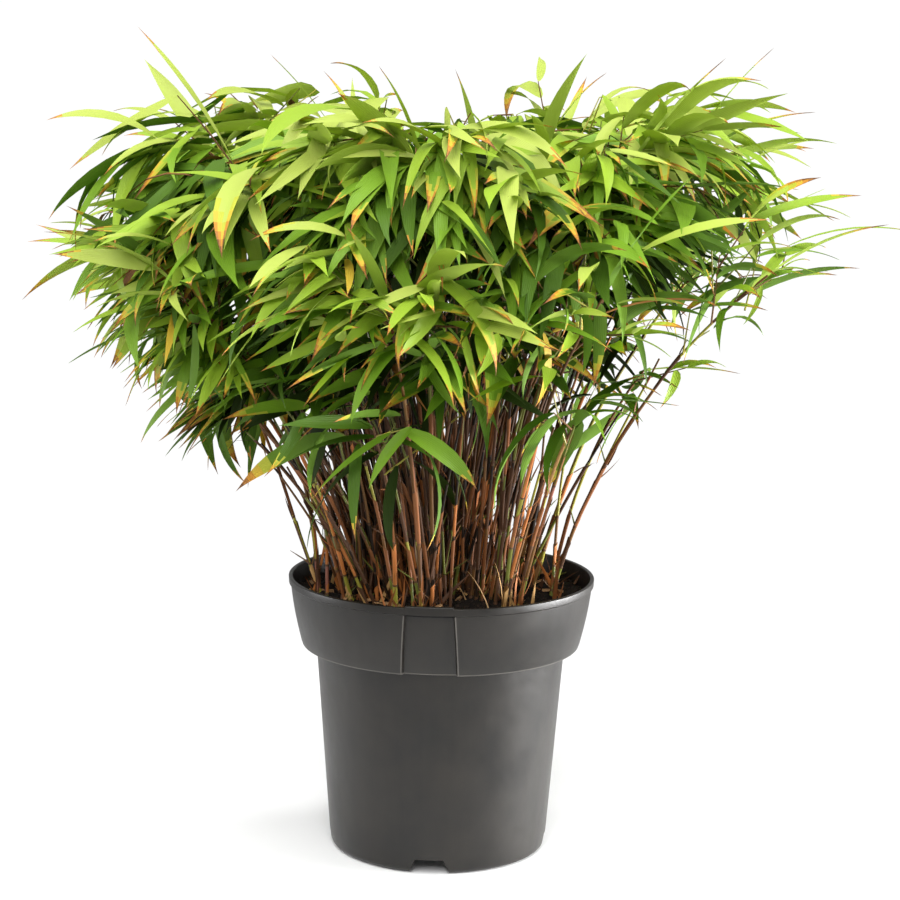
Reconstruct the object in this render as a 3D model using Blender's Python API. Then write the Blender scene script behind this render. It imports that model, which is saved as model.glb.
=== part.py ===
"""A clump of dwarf bamboo in a round nursery pot.

The pot stands on the origin, +Z is up and the label panel of its collar faces -Y.
The clump rises from the potting soil as separate culms that fan outwards. Each leafy culm
ends where its mass of foliage begins, and each mass keeps to its own cell of the crown.
"""

import math
import random

import bmesh
import bpy
from mathutils import Matrix, Vector, noise
from mathutils.bvhtree import BVHTree

# ---------------------------------------------------------------- driving dimensions, metres

POT_HEIGHT = 0.160
RIM_RADIUS = 0.0885
COLLAR_DEPTH = 0.040
COLLAR_FOOT_RADIUS = 0.0805
BODY_TOP_RADIUS = 0.0722
BASE_RADIUS = 0.0630
WALL = 0.0016
POT_TURN = math.radians(-4.0)
POT_COLUMNS = 32

LIP_BEAD = 0.0007
LIP_HEIGHT = 0.0024
FOOT_FILLET = 0.004
FOOT_RING_WIDTH = 0.0075
FLOOR_LIFT = 0.0070

PANEL_WIDTH = 0.030
PANEL_DEPTH = 0.0013
PANEL_FLARE = 0.20  # how much wider the panel is at its foot than at its head
NOTCH_COUNT = 4
NOTCH_HEIGHT = 0.0062
NOTCH_TOP_WIDTH = 0.016
NOTCH_FOOT_WIDTH = 0.023
DRAIN_COUNT = 4
DRAIN_RADIUS = 0.0048
DRAIN_CIRCLE = 0.036

SOIL_BELOW_RIM = 0.0105
SOIL_CROWN = 0.0030
SOIL_LUMP = 0.0006
SOIL_LUMP_SIZE = 0.022
SOIL_COLUMNS = 24
GAP = 0.0003

CULM_FOOT_RADIUS = 0.0017
CULM_TIP_RADIUS = 0.0011
ROOT_FLARE = 1.45
NODE_SWELL = 1.22
INTERNODE = 0.060
CULM_SIDES = 5
CULM_STEPS = 8
CULM_TRIES = 60
FOOT_RISE = 0.0006  # a culm's foot stands this far above the mean surface of the soil

SHOOT_RADIUS = 0.0013
SHOOT_TOP = 0.275
SHOOT_STRAY = 0.030
SHOOT_RISE = 0.003  # a side shoot leaves its culm this far above the culm's foot
SHOOT_STEPS = 3

STEM_STEPS = 3
TWIG_RADIUS = 0.0010
TWIG_LENGTH = 0.056
GOLDEN_TURN = math.radians(137.5)
LEAF_LENGTH = 0.083
LEAF_WIDTH = 0.0230
LEAF_THICKNESS = 0.011  # share of the leaf's length
LEAF_BELLY = 0.36  # where a leaf is widest, as a share of its length
LEAF_SHARES = (0.28, 0.47, 0.66, 0.83, 0.99)  # where leaves stand along a twig
STEM_LEAF_SHARES = (0.50, 0.66, 0.80, 0.92)
LEAF_TRIES = 40
TWIG_TRIES = 16
CELL_MARGIN = 0.0004
LIMB_CLEARANCE = 0.0005

CROWN_TOP = 0.469
CROWN_DIP = 0.012
CROWN_REACH = 0.256
RAGGED_TOP = 0.030  # most leaves stop short of the crown's top by up to this
RAGGED_REACH = 0.20  # and of its reach by up to this share of it
CROWN_WAIST = 0.355
CROWN_SLOPE = 0.86  # how fast the crown narrows below its waist
CROWN_SKEW = 0.20  # it narrows faster towards +X than towards -X
HANG_BELOW, LIFT_ABOVE = 0.25, 0.42  # heights where leaves hang most and lift most

SEED = 28

# Each tier of the clump: culms evenly round the axis, from a ring of feet to a ring of tips.
# bend is how far a culm leans over on its way up, in degrees, and stem and twigs are its mass's.
TIERS = {
    "centre": dict(count=1, turn=0, foot=0.004, tip=0.008, height=0.356, bend=3, stem=0.042, twigs=4),
    "heart": dict(count=4, turn=40, foot=0.024, tip=0.056, height=0.354, bend=8, stem=0.050, twigs=4),
    "core": dict(count=3, turn=30, foot=0.040, tip=0.068, height=0.268, bend=10, stem=0.042, twigs=5),
    "shoulder": dict(count=7, turn=8, foot=0.052, tip=0.112, height=0.352, bend=20, stem=0.054, twigs=4),
    "brim": dict(count=8, turn=30, foot=0.064, tip=0.136, height=0.296, bend=26, stem=0.056, twigs=5),
    "skirt": dict(count=6, turn=12, foot=0.070, tip=0.096, height=0.238, bend=18, stem=0.040, twigs=3),
}

# ---------------------------------------------------------------- materials


def finish(name, colour, roughness, metallic=0.0):
    """A Principled material with one colour."""
    material = bpy.data.materials.new(name)
    material.use_nodes = True
    shader = material.node_tree.nodes["Principled BSDF"]
    shader.inputs["Base Color"].default_value = (*colour, 1.0)
    shader.inputs["Roughness"].default_value = roughness
    shader.inputs["Metallic"].default_value = metallic
    material.diffuse_color = (*colour, 1.0)
    return material


# ---------------------------------------------------------------- mesh helpers


def add_object(name, mesh, material, smooth=True):
    """Links a mesh to the scene as a named object with one material."""
    made = bpy.data.objects.new(name, mesh)
    bpy.context.scene.collection.objects.link(made)
    mesh.materials.clear()
    mesh.materials.append(material)
    if smooth:
        mesh.shade_smooth()
        mesh.set_sharp_from_angle(angle=math.radians(35))
    return made


def mesh_of(name, corners, faces):
    """A mesh from corner points and faces, with every face turned outwards."""
    made = bmesh.new()
    verts = [made.verts.new(corner) for corner in corners]
    for face in faces:
        made.faces.new([verts[i] for i in face])
    bmesh.ops.recalc_face_normals(made, faces=made.faces)
    mesh = bpy.data.meshes.new(name)
    made.to_mesh(mesh)
    made.free()
    return mesh


def tube_rings(points, radii, sides, level_foot=False):
    """Rings of corners round a line of points. The first ring lies level when level_foot is set."""
    rings = []
    across = Vector((1, 0, 0))
    for i, (point, radius) in enumerate(zip(points, radii)):
        ahead = points[min(i + 1, len(points) - 1)] - points[max(i - 1, 0)]
        along = Vector((0, 0, 1)) if level_foot and i == 0 else ahead.normalized()
        across = (across - along * across.dot(along)).normalized()
        beside = along.cross(across)
        turns = [2 * math.pi * k / sides for k in range(sides)]
        rings.append([point + (across * math.cos(t) + beside * math.sin(t)) * radius for t in turns])
    return rings


def tube_mesh(name, points, radii, sides, level_foot=False):
    """A closed tube with flat ends."""
    rings = tube_rings(points, radii, sides, level_foot)
    corners = [corner for ring in rings for corner in ring]
    last = (len(rings) - 1) * sides
    faces = [list(range(sides)), list(range(last, last + sides))]
    for i in range(len(rings) - 1):
        for k in range(sides):
            a, b = i * sides + k, i * sides + (k + 1) % sides
            faces.append((a, b, b + sides, a + sides))
    return mesh_of(name, corners, faces)


# ---------------------------------------------------------------- pot and soil


def wall_radius(z):
    """Outer radius of the pot's wall at a height below the collar."""
    return BASE_RADIUS + (BODY_TOP_RADIUS - BASE_RADIUS) * z / (POT_HEIGHT - COLLAR_DEPTH)


def pot_profile():
    """The pot's wall as (radius, height, whether the label panel sets it back), foot to foot."""
    ledge = POT_HEIGHT - COLLAR_DEPTH
    floor_top = FLOOR_LIFT + WALL
    foot_inside = BASE_RADIUS - FOOT_RING_WIDTH
    fillet = [math.radians(a) for a in (0, 30, 60, 90)]
    outside = [(foot_inside, FLOOR_LIFT, False), (foot_inside + WALL / 2, 0.0, False)]
    for a in fillet:
        radius = BASE_RADIUS - FOOT_FILLET * (1 - math.sin(a))
        outside.append((radius, FOOT_FILLET * (1 - math.cos(a)), False))
    outside += [
        (BODY_TOP_RADIUS, ledge, False),
        (COLLAR_FOOT_RADIUS - WALL / 2, ledge, True),
        (COLLAR_FOOT_RADIUS, ledge + WALL / 2, True),
        (RIM_RADIUS - LIP_BEAD, POT_HEIGHT - 2 * LIP_HEIGHT, True),
        (RIM_RADIUS, POT_HEIGHT - 1.6 * LIP_HEIGHT, False),
        (RIM_RADIUS, POT_HEIGHT - LIP_HEIGHT / 3, False),
        (RIM_RADIUS - LIP_BEAD, POT_HEIGHT, False),
    ]
    inside = [
        (RIM_RADIUS - WALL - LIP_BEAD, POT_HEIGHT, False),
        (RIM_RADIUS - WALL - LIP_BEAD, POT_HEIGHT - 2 * LIP_HEIGHT, True),
        (COLLAR_FOOT_RADIUS - WALL, ledge + WALL, True),
        (BODY_TOP_RADIUS - WALL, ledge + WALL, False),
        (wall_radius(floor_top) - WALL, floor_top, False),
    ]
    return outside + inside


def column_angles():
    """Angles round the pot from the panel's middle, close together at the panel's edges."""
    half, edge = PANEL_WIDTH / 2 / RIM_RADIUS, 0.005
    count = POT_COLUMNS // 2 - 3
    side = [half / 3, half, half + edge]
    side += [half + edge + (math.pi - half - edge) * (k + 0.5) / count for k in range(count)]
    return [-angle for angle in reversed(side)] + side


def flared(angle, z):
    """A column's angle at a height: the panel's edges splay towards its foot."""
    share = max(-0.5, min(0.5, 0.5 - (z - POT_HEIGHT + COLLAR_DEPTH) / COLLAR_DEPTH))
    return angle * (1 + PANEL_FLARE * share * max(0.0, 1 - abs(angle) / 0.6))


def build_pot(material):
    """One moulded shell: foot ring, raised floor, tapering wall, ledge and stepped-out collar."""
    profile = pot_profile()
    angles = column_angles()
    corners = []
    for angle in angles:
        in_panel = abs(angle) <= PANEL_WIDTH / 2 / RIM_RADIUS + 1e-6
        for radius, z, recessed in profile:
            turned = flared(angle, z) + POT_TURN - math.pi / 2
            r = radius - (PANEL_DEPTH if recessed and in_panel else 0.0)
            corners.append((r * math.cos(turned), r * math.sin(turned), z))
    rows, columns = len(profile), len(angles)
    faces = []
    for c in range(columns):
        after = (c + 1) % columns
        for r in range(rows - 1):
            faces.append((c * rows + r, after * rows + r, after * rows + r + 1, c * rows + r + 1))
    under = len(corners)
    corners += [(0, 0, FLOOR_LIFT), (0, 0, FLOOR_LIFT + WALL)]
    for c in range(columns):
        after = (c + 1) % columns
        faces.append((under, after * rows, c * rows))
        faces.append((under + 1, c * rows + rows - 1, after * rows + rows - 1))
    pot = add_object("pot", mesh_of("pot", corners, faces), material)
    cut_each(pot, [notch_cutter(k) for k in range(NOTCH_COUNT)])
    cut_each(pot, [drain_cutter(k) for k in range(DRAIN_COUNT)])
    return pot


def cut_each(target, cutters):
    """Subtracts cutters that don't meet each other, applies the cut and removes them."""
    tools = bpy.data.collections.new("cutters")
    bpy.context.scene.collection.children.link(tools)
    for cutter in cutters:
        tools.objects.link(cutter)
    apply_boolean(target, tools, "DIFFERENCE", "EXACT")


def apply_boolean(target, tools, operation, solver):
    """Applies one Boolean of a whole collection to a mesh object and removes the collection."""
    modifier = target.modifiers.new("join", "BOOLEAN")
    modifier.operation = operation
    modifier.operand_type = "COLLECTION"
    modifier.collection = tools
    modifier.solver = solver
    bpy.context.view_layer.update()
    graph = bpy.context.evaluated_depsgraph_get()
    made = bpy.data.meshes.new_from_object(target.evaluated_get(graph))
    target.modifiers.clear()
    target.data = made
    for tool in list(tools.objects):
        bpy.data.objects.remove(tool)
    bpy.data.collections.remove(tools)


def notch_cutter(k):
    """A trapezoid bar across the foot ring, which lets water out from under the pot."""
    near, far = BASE_RADIUS - FOOT_RING_WIDTH - 0.004, BASE_RADIUS + 0.004
    below = -0.002
    spread = (NOTCH_FOOT_WIDTH - NOTCH_TOP_WIDTH) / 2 / NOTCH_HEIGHT
    foot = NOTCH_FOOT_WIDTH / 2 - spread * below
    top = NOTCH_TOP_WIDTH / 2
    section = [(-foot, below), (foot, below), (top, NOTCH_HEIGHT), (-top, NOTCH_HEIGHT)]
    corners = [(x, y, z) for y in (near, far) for x, z in section]
    faces = [(0, 1, 2, 3), (4, 5, 6, 7), (0, 1, 5, 4), (1, 2, 6, 5), (2, 3, 7, 6), (3, 0, 4, 7)]
    cutter = bpy.data.objects.new("notch", mesh_of("notch", corners, faces))
    turn = POT_TURN + math.pi + 2 * math.pi * k / NOTCH_COUNT
    cutter.data.transform(Matrix.Rotation(turn, 4, "Z"))
    return cutter


def drain_cutter(k):
    """A round bar through the raised floor."""
    turn = POT_TURN + 2 * math.pi * (k + 0.5) / DRAIN_COUNT
    centre = Vector((DRAIN_CIRCLE * math.cos(turn), DRAIN_CIRCLE * math.sin(turn), 0))
    ends = [centre + Vector((0, 0, FLOOR_LIFT - 0.003)), centre + Vector((0, 0, FLOOR_LIFT + 0.005))]
    return bpy.data.objects.new("drain", tube_mesh("drain", ends, [DRAIN_RADIUS] * 2, 6))


def soil_height(x, y):
    """Height of the potting soil: a low dome with soft lumps that die out at the wall."""
    radius = math.hypot(x, y)
    edge = RIM_RADIUS - WALL
    inwards = max(0.0, 1 - (radius / edge) ** 2)
    lump = noise.noise(Vector((x, y, 0)) / SOIL_LUMP_SIZE)
    return POT_HEIGHT - SOIL_BELOW_RIM + SOIL_CROWN * inwards + SOIL_LUMP * lump * min(1.0, 3 * inwards)


def build_soil(material):
    """The root ball: it fills the pot to a gap of the wall, and its top is the soil's surface."""
    ledge = POT_HEIGHT - COLLAR_DEPTH
    floor_top = FLOOR_LIFT + WALL
    taper = (RIM_RADIUS - COLLAR_FOOT_RADIUS) / COLLAR_DEPTH
    surface = POT_HEIGHT - SOIL_BELOW_RIM
    inset = WALL + GAP + LIP_BEAD + PANEL_DEPTH + 0.0004
    side = [
        (wall_radius(floor_top) - WALL - 2 * GAP, floor_top + GAP),
        (BODY_TOP_RADIUS - WALL - 2 * GAP, ledge + WALL),
        (BODY_TOP_RADIUS - WALL - 2 * GAP, ledge + WALL + GAP),
        (COLLAR_FOOT_RADIUS - inset, ledge + WALL + GAP),
        (COLLAR_FOOT_RADIUS + taper * (surface - ledge) - inset, surface),
    ]
    columns = SOIL_COLUMNS
    rings = [[(r, z)] * columns for r, z in side]
    corners, faces = [], []
    angles = [2 * math.pi * c / columns for c in range(columns)]
    for ring in rings:
        corners += [(r * math.cos(a), r * math.sin(a), z) for a, (r, z) in zip(angles, ring)]
    for share in (0.82, 0.58, 0.30):
        radius = side[-1][0] * share
        spots = [(radius * math.cos(a), radius * math.sin(a)) for a in angles]
        corners += [(x, y, soil_height(x, y)) for x, y in spots]
    rows = len(corners) // columns
    for r in range(rows - 1):
        for c in range(columns):
            after = (c + 1) % columns
            low, high = r * columns, (r + 1) * columns
            faces.append((low + c, low + after, high + after, high + c))
    bottom, top = len(corners), len(corners) + 1
    corners += [(0, 0, floor_top + GAP), (0, 0, soil_height(0, 0))]
    for c in range(columns):
        after = (c + 1) % columns
        faces.append((bottom, c, after))
        faces.append((top, (rows - 1) * columns + c, (rows - 1) * columns + after))
    return add_object("soil", mesh_of("soil", corners, faces), material)


# ---------------------------------------------------------------- culms


def level_out(point):
    """The level direction from the clump's axis to a point."""
    out = Vector((point.x, point.y, 0))
    return out.normalized() if out.length > 1e-4 else Vector((1, 0, 0))


def culm_plan(tier, number, dice):
    """One culm of a tier: its name, its number and the line it takes from the soil to its tip."""
    sizes = TIERS[tier]
    turn = math.radians(sizes["turn"]) + 2 * math.pi * number / sizes["count"]
    foot_turn, tip_turn = (turn + dice.uniform(-sway, sway) for sway in (0.12, 0.10))
    foot_reach = sizes["foot"] * dice.uniform(0.90, 1.05)
    tip_reach = sizes["tip"] * dice.uniform(0.94, 1.06)
    foot = Vector((foot_reach * math.cos(foot_turn), foot_reach * math.sin(foot_turn), 0))
    foot.z = soil_height(foot.x, foot.y) + FOOT_RISE
    height = sizes["height"] + dice.uniform(-0.010, 0.010)
    tip = Vector((tip_reach * math.cos(tip_turn), tip_reach * math.sin(tip_turn), height))
    path = arc(foot, tip, math.radians(sizes["bend"]), CULM_STEPS)
    return dict(name=f"{tier}_{number + 1}", sizes=sizes, path=path, stem=stem_path(path, sizes["stem"]))


def plan_culms(dice):
    """A plan for every culm, and the tubes that keep them apart: each is drawn till it is clear."""
    plans, tubes = [], []
    for tier in TIERS:
        for number in range(TIERS[tier]["count"]):
            for _ in range(CULM_TRIES):
                plan = culm_plan(tier, number, dice)
                tube = clearance_tube(plan["path"], CULM_FOOT_RADIUS * NODE_SWELL)
                if not tubes or free_of(tube, tree_of(tubes)):
                    break
            plans.append(plan)
            tubes.append(tube)
    return plans, tubes


def arc(start, end, bend, steps):
    """Points along a shallow arc that leans over by bend, in all, on its way up."""
    chord = end - start
    along, out = chord.normalized(), level_out(end)
    inward = (along * out.dot(along) - out).normalized()
    sag = chord.length / 2 * math.tan(bend / 4)
    shares = [i / steps for i in range(steps + 1)]
    return [start + chord * s + inward * 4 * sag * s * (1 - s) for s in shares]


def stem_path(path, length):
    """The line of a mass's stem: it goes on from the culm's tip, a gap clear of it, and arches over."""
    along, out = (path[-1] - path[-2]).normalized(), level_out(path[-1])
    points = [path[-1] + along * GAP]
    for _ in range(STEM_STEPS):
        along = (along + out * 0.09).normalized()
        points.append(points[-1] + along * length / STEM_STEPS)
    return points


def spot_on(path, share):
    """The point at a share of the way along a line of points, and the direction there."""
    at = min(share * (len(path) - 1), len(path) - 1 - 1e-6)
    i = int(at)
    return path[i].lerp(path[i + 1], at - i), (path[i + 1] - path[i]).normalized()


def culm_mesh(name, path):
    """A tapering culm: a flared foot cut level at the soil, then a ridge at every node."""
    length = sum((b - a).length for a, b in zip(path, path[1:]))
    joints = max(3, round(length / INTERNODE))
    shares = [(0.0, ROOT_FLARE), (0.02, 1.05)]
    for j in range(1, joints):
        shares += [(j / joints - 0.015, 1.0), (j / joints, NODE_SWELL)]
    shares.append((1.0, 1.0))
    points = [spot_on(path, share)[0] for share, _ in shares]
    radii = [culm_radius(share) * swell for share, swell in shares]
    return tube_mesh(name, points, radii, CULM_SIDES, level_foot=True)


def culm_radius(share):
    """Radius of a culm at a share of its length, between its nodes."""
    return CULM_FOOT_RADIUS + (CULM_TIP_RADIUS - CULM_FOOT_RADIUS) * share


def shoot_path(plan, culms, others, dice):
    """A side shoot's line: from its culm's foot up among the culms, or None where none is clear."""
    start = plan["path"][0] + Vector((0, 0, SHOOT_RISE))
    for _ in range(CULM_TRIES):
        stray = Vector((dice.uniform(-1, 1), dice.uniform(-1, 1), 0)) * SHOOT_STRAY
        end = Vector((start.x * 1.5, start.y * 1.5, SHOOT_TOP + dice.uniform(-0.03, 0.02))) + stray
        path = arc(start, end, math.radians(6), SHOOT_STEPS)
        upper = [spot_on(path, 0.25)[0], *path[1:]]
        whole, above = (clearance_tube(line, SHOOT_RADIUS) for line in (path, upper))
        if free_of(whole, others) and free_of(above, culms):
            return path
    return None


# ---------------------------------------------------------------- where leaves may grow


def free_of(mesh, tree):
    """Whether a closed mesh misses the faces in a search tree."""
    return not tree_of([mesh]).overlap(tree)


def tree_of(meshes):
    """One search tree over the faces of several meshes."""
    corners, faces = [], []
    for mesh in meshes:
        faces += [[len(corners) + i for i in face.vertices] for face in mesh.polygons]
        corners += [vert.co.copy() for vert in mesh.vertices]
    return BVHTree.FromPolygons(corners, faces)


def clearance_tube(path, radius):
    """A plain tube that a limb fits inside with its clearance round it."""
    return tube_mesh("clearance", path, [radius + LIMB_CLEARANCE] * len(path), 6)


def crown_top(point):
    """The crown's top, which dips towards its middle."""
    return CROWN_TOP - CROWN_DIP * max(0.0, 1 - point.xy.length / (0.5 * CROWN_REACH))


def crown_reach(point):
    """How far the crown reaches from its axis at a point's height, on the point's side."""
    slope = CROWN_SLOPE * (1 + CROWN_SKEW * level_out(point).x)
    return CROWN_REACH - slope * max(0.0, CROWN_WAIST - point.z)


def home_of(plan):
    """The heart of a mass: just outside and below the outer part of its stem."""
    point = spot_on(plan["stem"], 0.75)[0]
    return point + level_out(point) * 0.012 + Vector((0, 0, -0.006))


class Space:
    """One mass's own cell of the crown, with the limbs and leaves that a new leaf must miss."""

    def __init__(self, plan, plans, culms):
        others = [other for other in plans if other is not plan]
        self.home = home_of(plan)
        self.others = [home_of(other) for other in others]
        stems = tree_of([clearance_tube(other["stem"], CULM_TIP_RADIUS) for other in others])
        self.taken = [culms, stems]

    def holds(self, corners, short=0.0):
        """Whether all corners lie in the crown, or short of its edge, and well inside the cell."""
        drop, share = RAGGED_TOP * short, 1 - RAGGED_REACH * short
        if any(c.z > crown_top(c) - drop or c.xy.length > crown_reach(c) * share for c in corners):
            return False
        for other in self.others:
            apart = other - self.home
            wall = (other + self.home).dot(apart) / 2 - CELL_MARGIN * apart.length
            if any(corner.dot(apart) > wall for corner in corners):
                return False
        return True

    def clear(self, corners, faces):
        """Whether a small solid misses every limb and leaf there is."""
        own = BVHTree.FromPolygons(corners, faces)
        return not any(own.overlap(tree) for tree in self.taken)


# ---------------------------------------------------------------- foliage masses

LEAF_FACES = [(0, 1, 2), (0, 2, 3), (0, 3, 1), (4, 2, 1), (4, 3, 2), (4, 1, 3)]


def leaf_corners(root, heading, side, length, width, droop):
    """Corners of a leaf: a pointed root, two edges and a midrib at its widest, a drooping tip."""
    up = side.cross(heading)
    middle = root + heading * (LEAF_BELLY * length)
    tip = middle + (heading * math.cos(droop) - up * math.sin(droop)) * ((1 - LEAF_BELLY) * length)
    half, rib = side * (width / 2), up * (length * LEAF_THICKNESS)
    return [root, middle + half, middle + rib, middle - half, tip]


def blade_of(corners):
    """A leaf's corners with the root drawn in, since leaves of one twig may meet at their roots."""
    return [corners[0].lerp(corners[2], 0.15), *corners[1:]]


def grow_leaf(space, root, along, hand, dice):
    """Tries for a leaf to one hand of its twig, or straight on where hand is 0.

    Returns its corners, or None where none fits. Low leaves hang, high ones lift, and the leaf
    that goes straight on from a stem reaches furthest."""
    leads = hand == 0
    rise = max(0.0, min(1.0, (root.z - HANG_BELOW) / (LIFT_ABOVE - HANG_BELOW)))
    lift = 0.1 if leads else -0.45 + 0.75 * rise
    short = 0.0 if leads else math.sqrt(dice.random())
    spread, wild = (0, 0.12) if leads else (46, 0.25)
    for attempt in range(LEAF_TRIES):
        aside = along.cross(Vector((0, 0, 1)))
        aside = aside.normalized() if aside.length > 0.1 else along.orthogonal().normalized()
        angle = math.radians(spread + dice.uniform(-22, 22))
        loose = Vector([dice.uniform(-1, 1) for _ in range(3)]) * (wild + 0.03 * attempt)
        heading = along * math.cos(angle) + aside * hand * math.sin(angle)
        heading = (heading + loose + Vector((0, 0, lift))).normalized()
        side = heading.cross(Vector((0, 0, 1)))
        if side.length < 0.15:
            continue
        side = Matrix.Rotation(dice.uniform(-0.7, 0.7), 3, heading) @ side.normalized()
        scale = dice.uniform(0.86, 1.12) * (1 - 0.012 * attempt)
        droop = math.radians(dice.uniform(4, 18) if leads else dice.uniform(12, 55))
        corners = leaf_corners(root, heading, side, LEAF_LENGTH * scale, LEAF_WIDTH * scale, droop)
        if space.holds(corners, short) and space.clear(blade_of(corners), LEAF_FACES):
            space.taken.append(BVHTree.FromPolygons(blade_of(corners), LEAF_FACES))
            return corners
    return None


def grow_twig(space, stem, k, count, dice):
    """Tries for a twig from the stem; each stands a golden turn round from the one before."""
    share = 0.08 + 0.72 * k / max(1, count - 1)
    start, run = spot_on(stem, share)
    for attempt in range(TWIG_TRIES):
        turn = Matrix.Rotation(k * GOLDEN_TURN + dice.uniform(-0.8, 0.8), 3, run)
        around = turn @ run.orthogonal().normalized()
        along = (run * 0.5 + around + level_out(start) * 0.3).normalized()
        end = start + along * TWIG_LENGTH * dice.uniform(0.75, 1.2) * (1 - 0.03 * attempt)
        twig = tube_mesh("twig", [start, end], [TWIG_RADIUS, TWIG_RADIUS * 0.8], 3)
        corners = [vert.co.copy() for vert in twig.vertices]
        if space.holds(corners, 1.0) and space.clear(corners, [face.vertices[:] for face in twig.polygons]):
            return (start, end), twig
    return None


def grow_mass(plan, plans, culms, dice):
    """Closed meshes of one mass: the stem, the twigs rooted in it and the leaves rooted in both."""
    space, stem = Space(plan, plans, culms), plan["stem"]
    taper = (TWIG_RADIUS - CULM_TIP_RADIUS) / STEM_STEPS
    radii = [CULM_TIP_RADIUS + taper * i for i in range(STEM_STEPS + 1)]
    solids = [tube_mesh("stem", stem, radii, 3)]
    roots = [(*spot_on(stem, 0.995), 0)]
    roots += [(*spot_on(stem, share), (-1) ** j) for j, share in enumerate(STEM_LEAF_SHARES)]
    for k in range(plan["sizes"]["twigs"]):
        grown = grow_twig(space, stem, k, plan["sizes"]["twigs"], dice)
        if grown is None:
            continue
        line, twig = grown
        solids.append(twig)
        for j, share in enumerate(LEAF_SHARES):
            roots.append((*spot_on(line, share), (-1) ** (j + k)))
    space.taken.append(tree_of(solids))
    leaves = [grow_leaf(space, *root, dice) for root in roots]
    return solids + [mesh_of("leaf", corners, LEAF_FACES) for corners in leaves if corners]


def loose_bodies(made):
    """The separate bodies of a mesh, as lists of corners, the largest first."""
    unseen, bodies = set(made.verts), []
    while unseen:
        front = [unseen.pop()]
        body = list(front)
        while front:
            for link in front.pop().link_edges:
                for vert in link.verts:
                    if vert in unseen:
                        unseen.discard(vert)
                        body.append(vert)
                        front.append(vert)
        bodies.append(body)
    return sorted(bodies, key=len, reverse=True)


def fuse(name, solids, material, solver):
    """Joins solids that share a limb by one Boolean union and drops any loose scrap."""
    first = bpy.data.objects.new(name, solids[0])
    bpy.context.scene.collection.objects.link(first)
    tools = bpy.data.collections.new("solids")
    bpy.context.scene.collection.children.link(tools)
    for solid in solids[1:]:
        tools.objects.link(bpy.data.objects.new("solid", solid))
    apply_boolean(first, tools, "UNION", solver)
    mesh = first.data
    bpy.data.objects.remove(first)
    made = bmesh.new()
    made.from_mesh(mesh)
    for scrap in loose_bodies(made)[1:]:
        bmesh.ops.delete(made, geom=scrap, context="VERTS")
    made.to_mesh(mesh)
    made.free()
    mesh.name = name
    return add_object(name, mesh, material, smooth=False)


# ---------------------------------------------------------------- the whole plant


def main():
    for old in list(bpy.data.objects):
        bpy.data.objects.remove(old)
    plastic = finish("pot_plastic", (0.060, 0.060, 0.060), 0.55)
    peat = finish("potting_soil", (0.018, 0.013, 0.010), 0.95)
    bark = finish("culm_bark", (0.36, 0.20, 0.09), 0.6)
    green = finish("leaf_green", (0.20, 0.42, 0.05), 0.5)
    build_pot(plastic)
    build_soil(peat)

    dice = random.Random(SEED)
    plans, tubes = plan_culms(dice)
    for plan, tube in zip(plans, list(tubes)):
        name = "culm_" + plan["name"]
        others = tree_of([other for other in tubes if other is not tube])
        shoot = shoot_path(plan, tree_of(tubes), others, dice)
        if shoot is None:
            add_object(name, culm_mesh(name, plan["path"]), bark)
            continue
        side = tube_mesh("shoot", shoot, [SHOOT_RADIUS] * (len(shoot) - 1) + [SHOOT_RADIUS * 0.6], 3)
        fuse(name, [culm_mesh(name, plan["path"]), side], bark, "EXACT")
        tubes.append(clearance_tube(shoot, SHOOT_RADIUS))
    culms = tree_of(tubes)
    for k, plan in enumerate(plans):
        solids = grow_mass(plan, plans, culms, random.Random(SEED + 1 + k))
        fuse("foliage_" + plan["name"], solids, green, "MANIFOLD")


main()
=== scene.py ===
# %% [markdown]
# # A clump of dwarf bamboo in a nursery pot
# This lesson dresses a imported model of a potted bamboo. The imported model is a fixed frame: it says
# where the pot, the soil, the culms and the masses of foliage are. Each of its plain solids is
# replaced here by a finer mesh that keeps to the same place and the same reach.

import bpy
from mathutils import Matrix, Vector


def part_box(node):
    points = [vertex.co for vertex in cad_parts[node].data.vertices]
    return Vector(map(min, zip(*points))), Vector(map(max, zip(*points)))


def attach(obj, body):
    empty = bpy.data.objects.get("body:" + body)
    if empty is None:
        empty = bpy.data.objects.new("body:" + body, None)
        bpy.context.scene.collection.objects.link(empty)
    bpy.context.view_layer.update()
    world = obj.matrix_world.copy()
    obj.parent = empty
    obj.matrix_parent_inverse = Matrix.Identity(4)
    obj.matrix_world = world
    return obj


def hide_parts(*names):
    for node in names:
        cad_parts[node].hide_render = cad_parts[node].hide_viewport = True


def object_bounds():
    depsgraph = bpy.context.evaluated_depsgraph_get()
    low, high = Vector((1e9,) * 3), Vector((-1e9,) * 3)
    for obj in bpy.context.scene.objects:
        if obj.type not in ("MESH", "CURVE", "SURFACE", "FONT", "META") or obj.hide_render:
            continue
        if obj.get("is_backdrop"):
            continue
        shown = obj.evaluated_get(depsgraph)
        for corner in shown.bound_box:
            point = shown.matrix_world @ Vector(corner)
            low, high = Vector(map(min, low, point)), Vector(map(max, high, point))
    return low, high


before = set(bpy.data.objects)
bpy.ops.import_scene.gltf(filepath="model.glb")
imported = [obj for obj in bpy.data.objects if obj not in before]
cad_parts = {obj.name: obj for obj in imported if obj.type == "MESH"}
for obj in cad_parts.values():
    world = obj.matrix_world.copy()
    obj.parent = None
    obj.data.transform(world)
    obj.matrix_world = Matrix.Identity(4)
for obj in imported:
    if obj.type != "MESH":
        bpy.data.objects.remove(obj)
frame_low, frame_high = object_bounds()
print("frame", len(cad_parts), "nodes, from", frame_low[:], "to", frame_high[:])

# %% [markdown]
# ## Tools and sizes
# The growth rule below is the one that shaped the solids, so it starts from the same named sizes,
# in metres. Sizes that only the finer pieces need are named where they are first used.

# %% Modules and the pot's sizes
import math
import random

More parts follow.
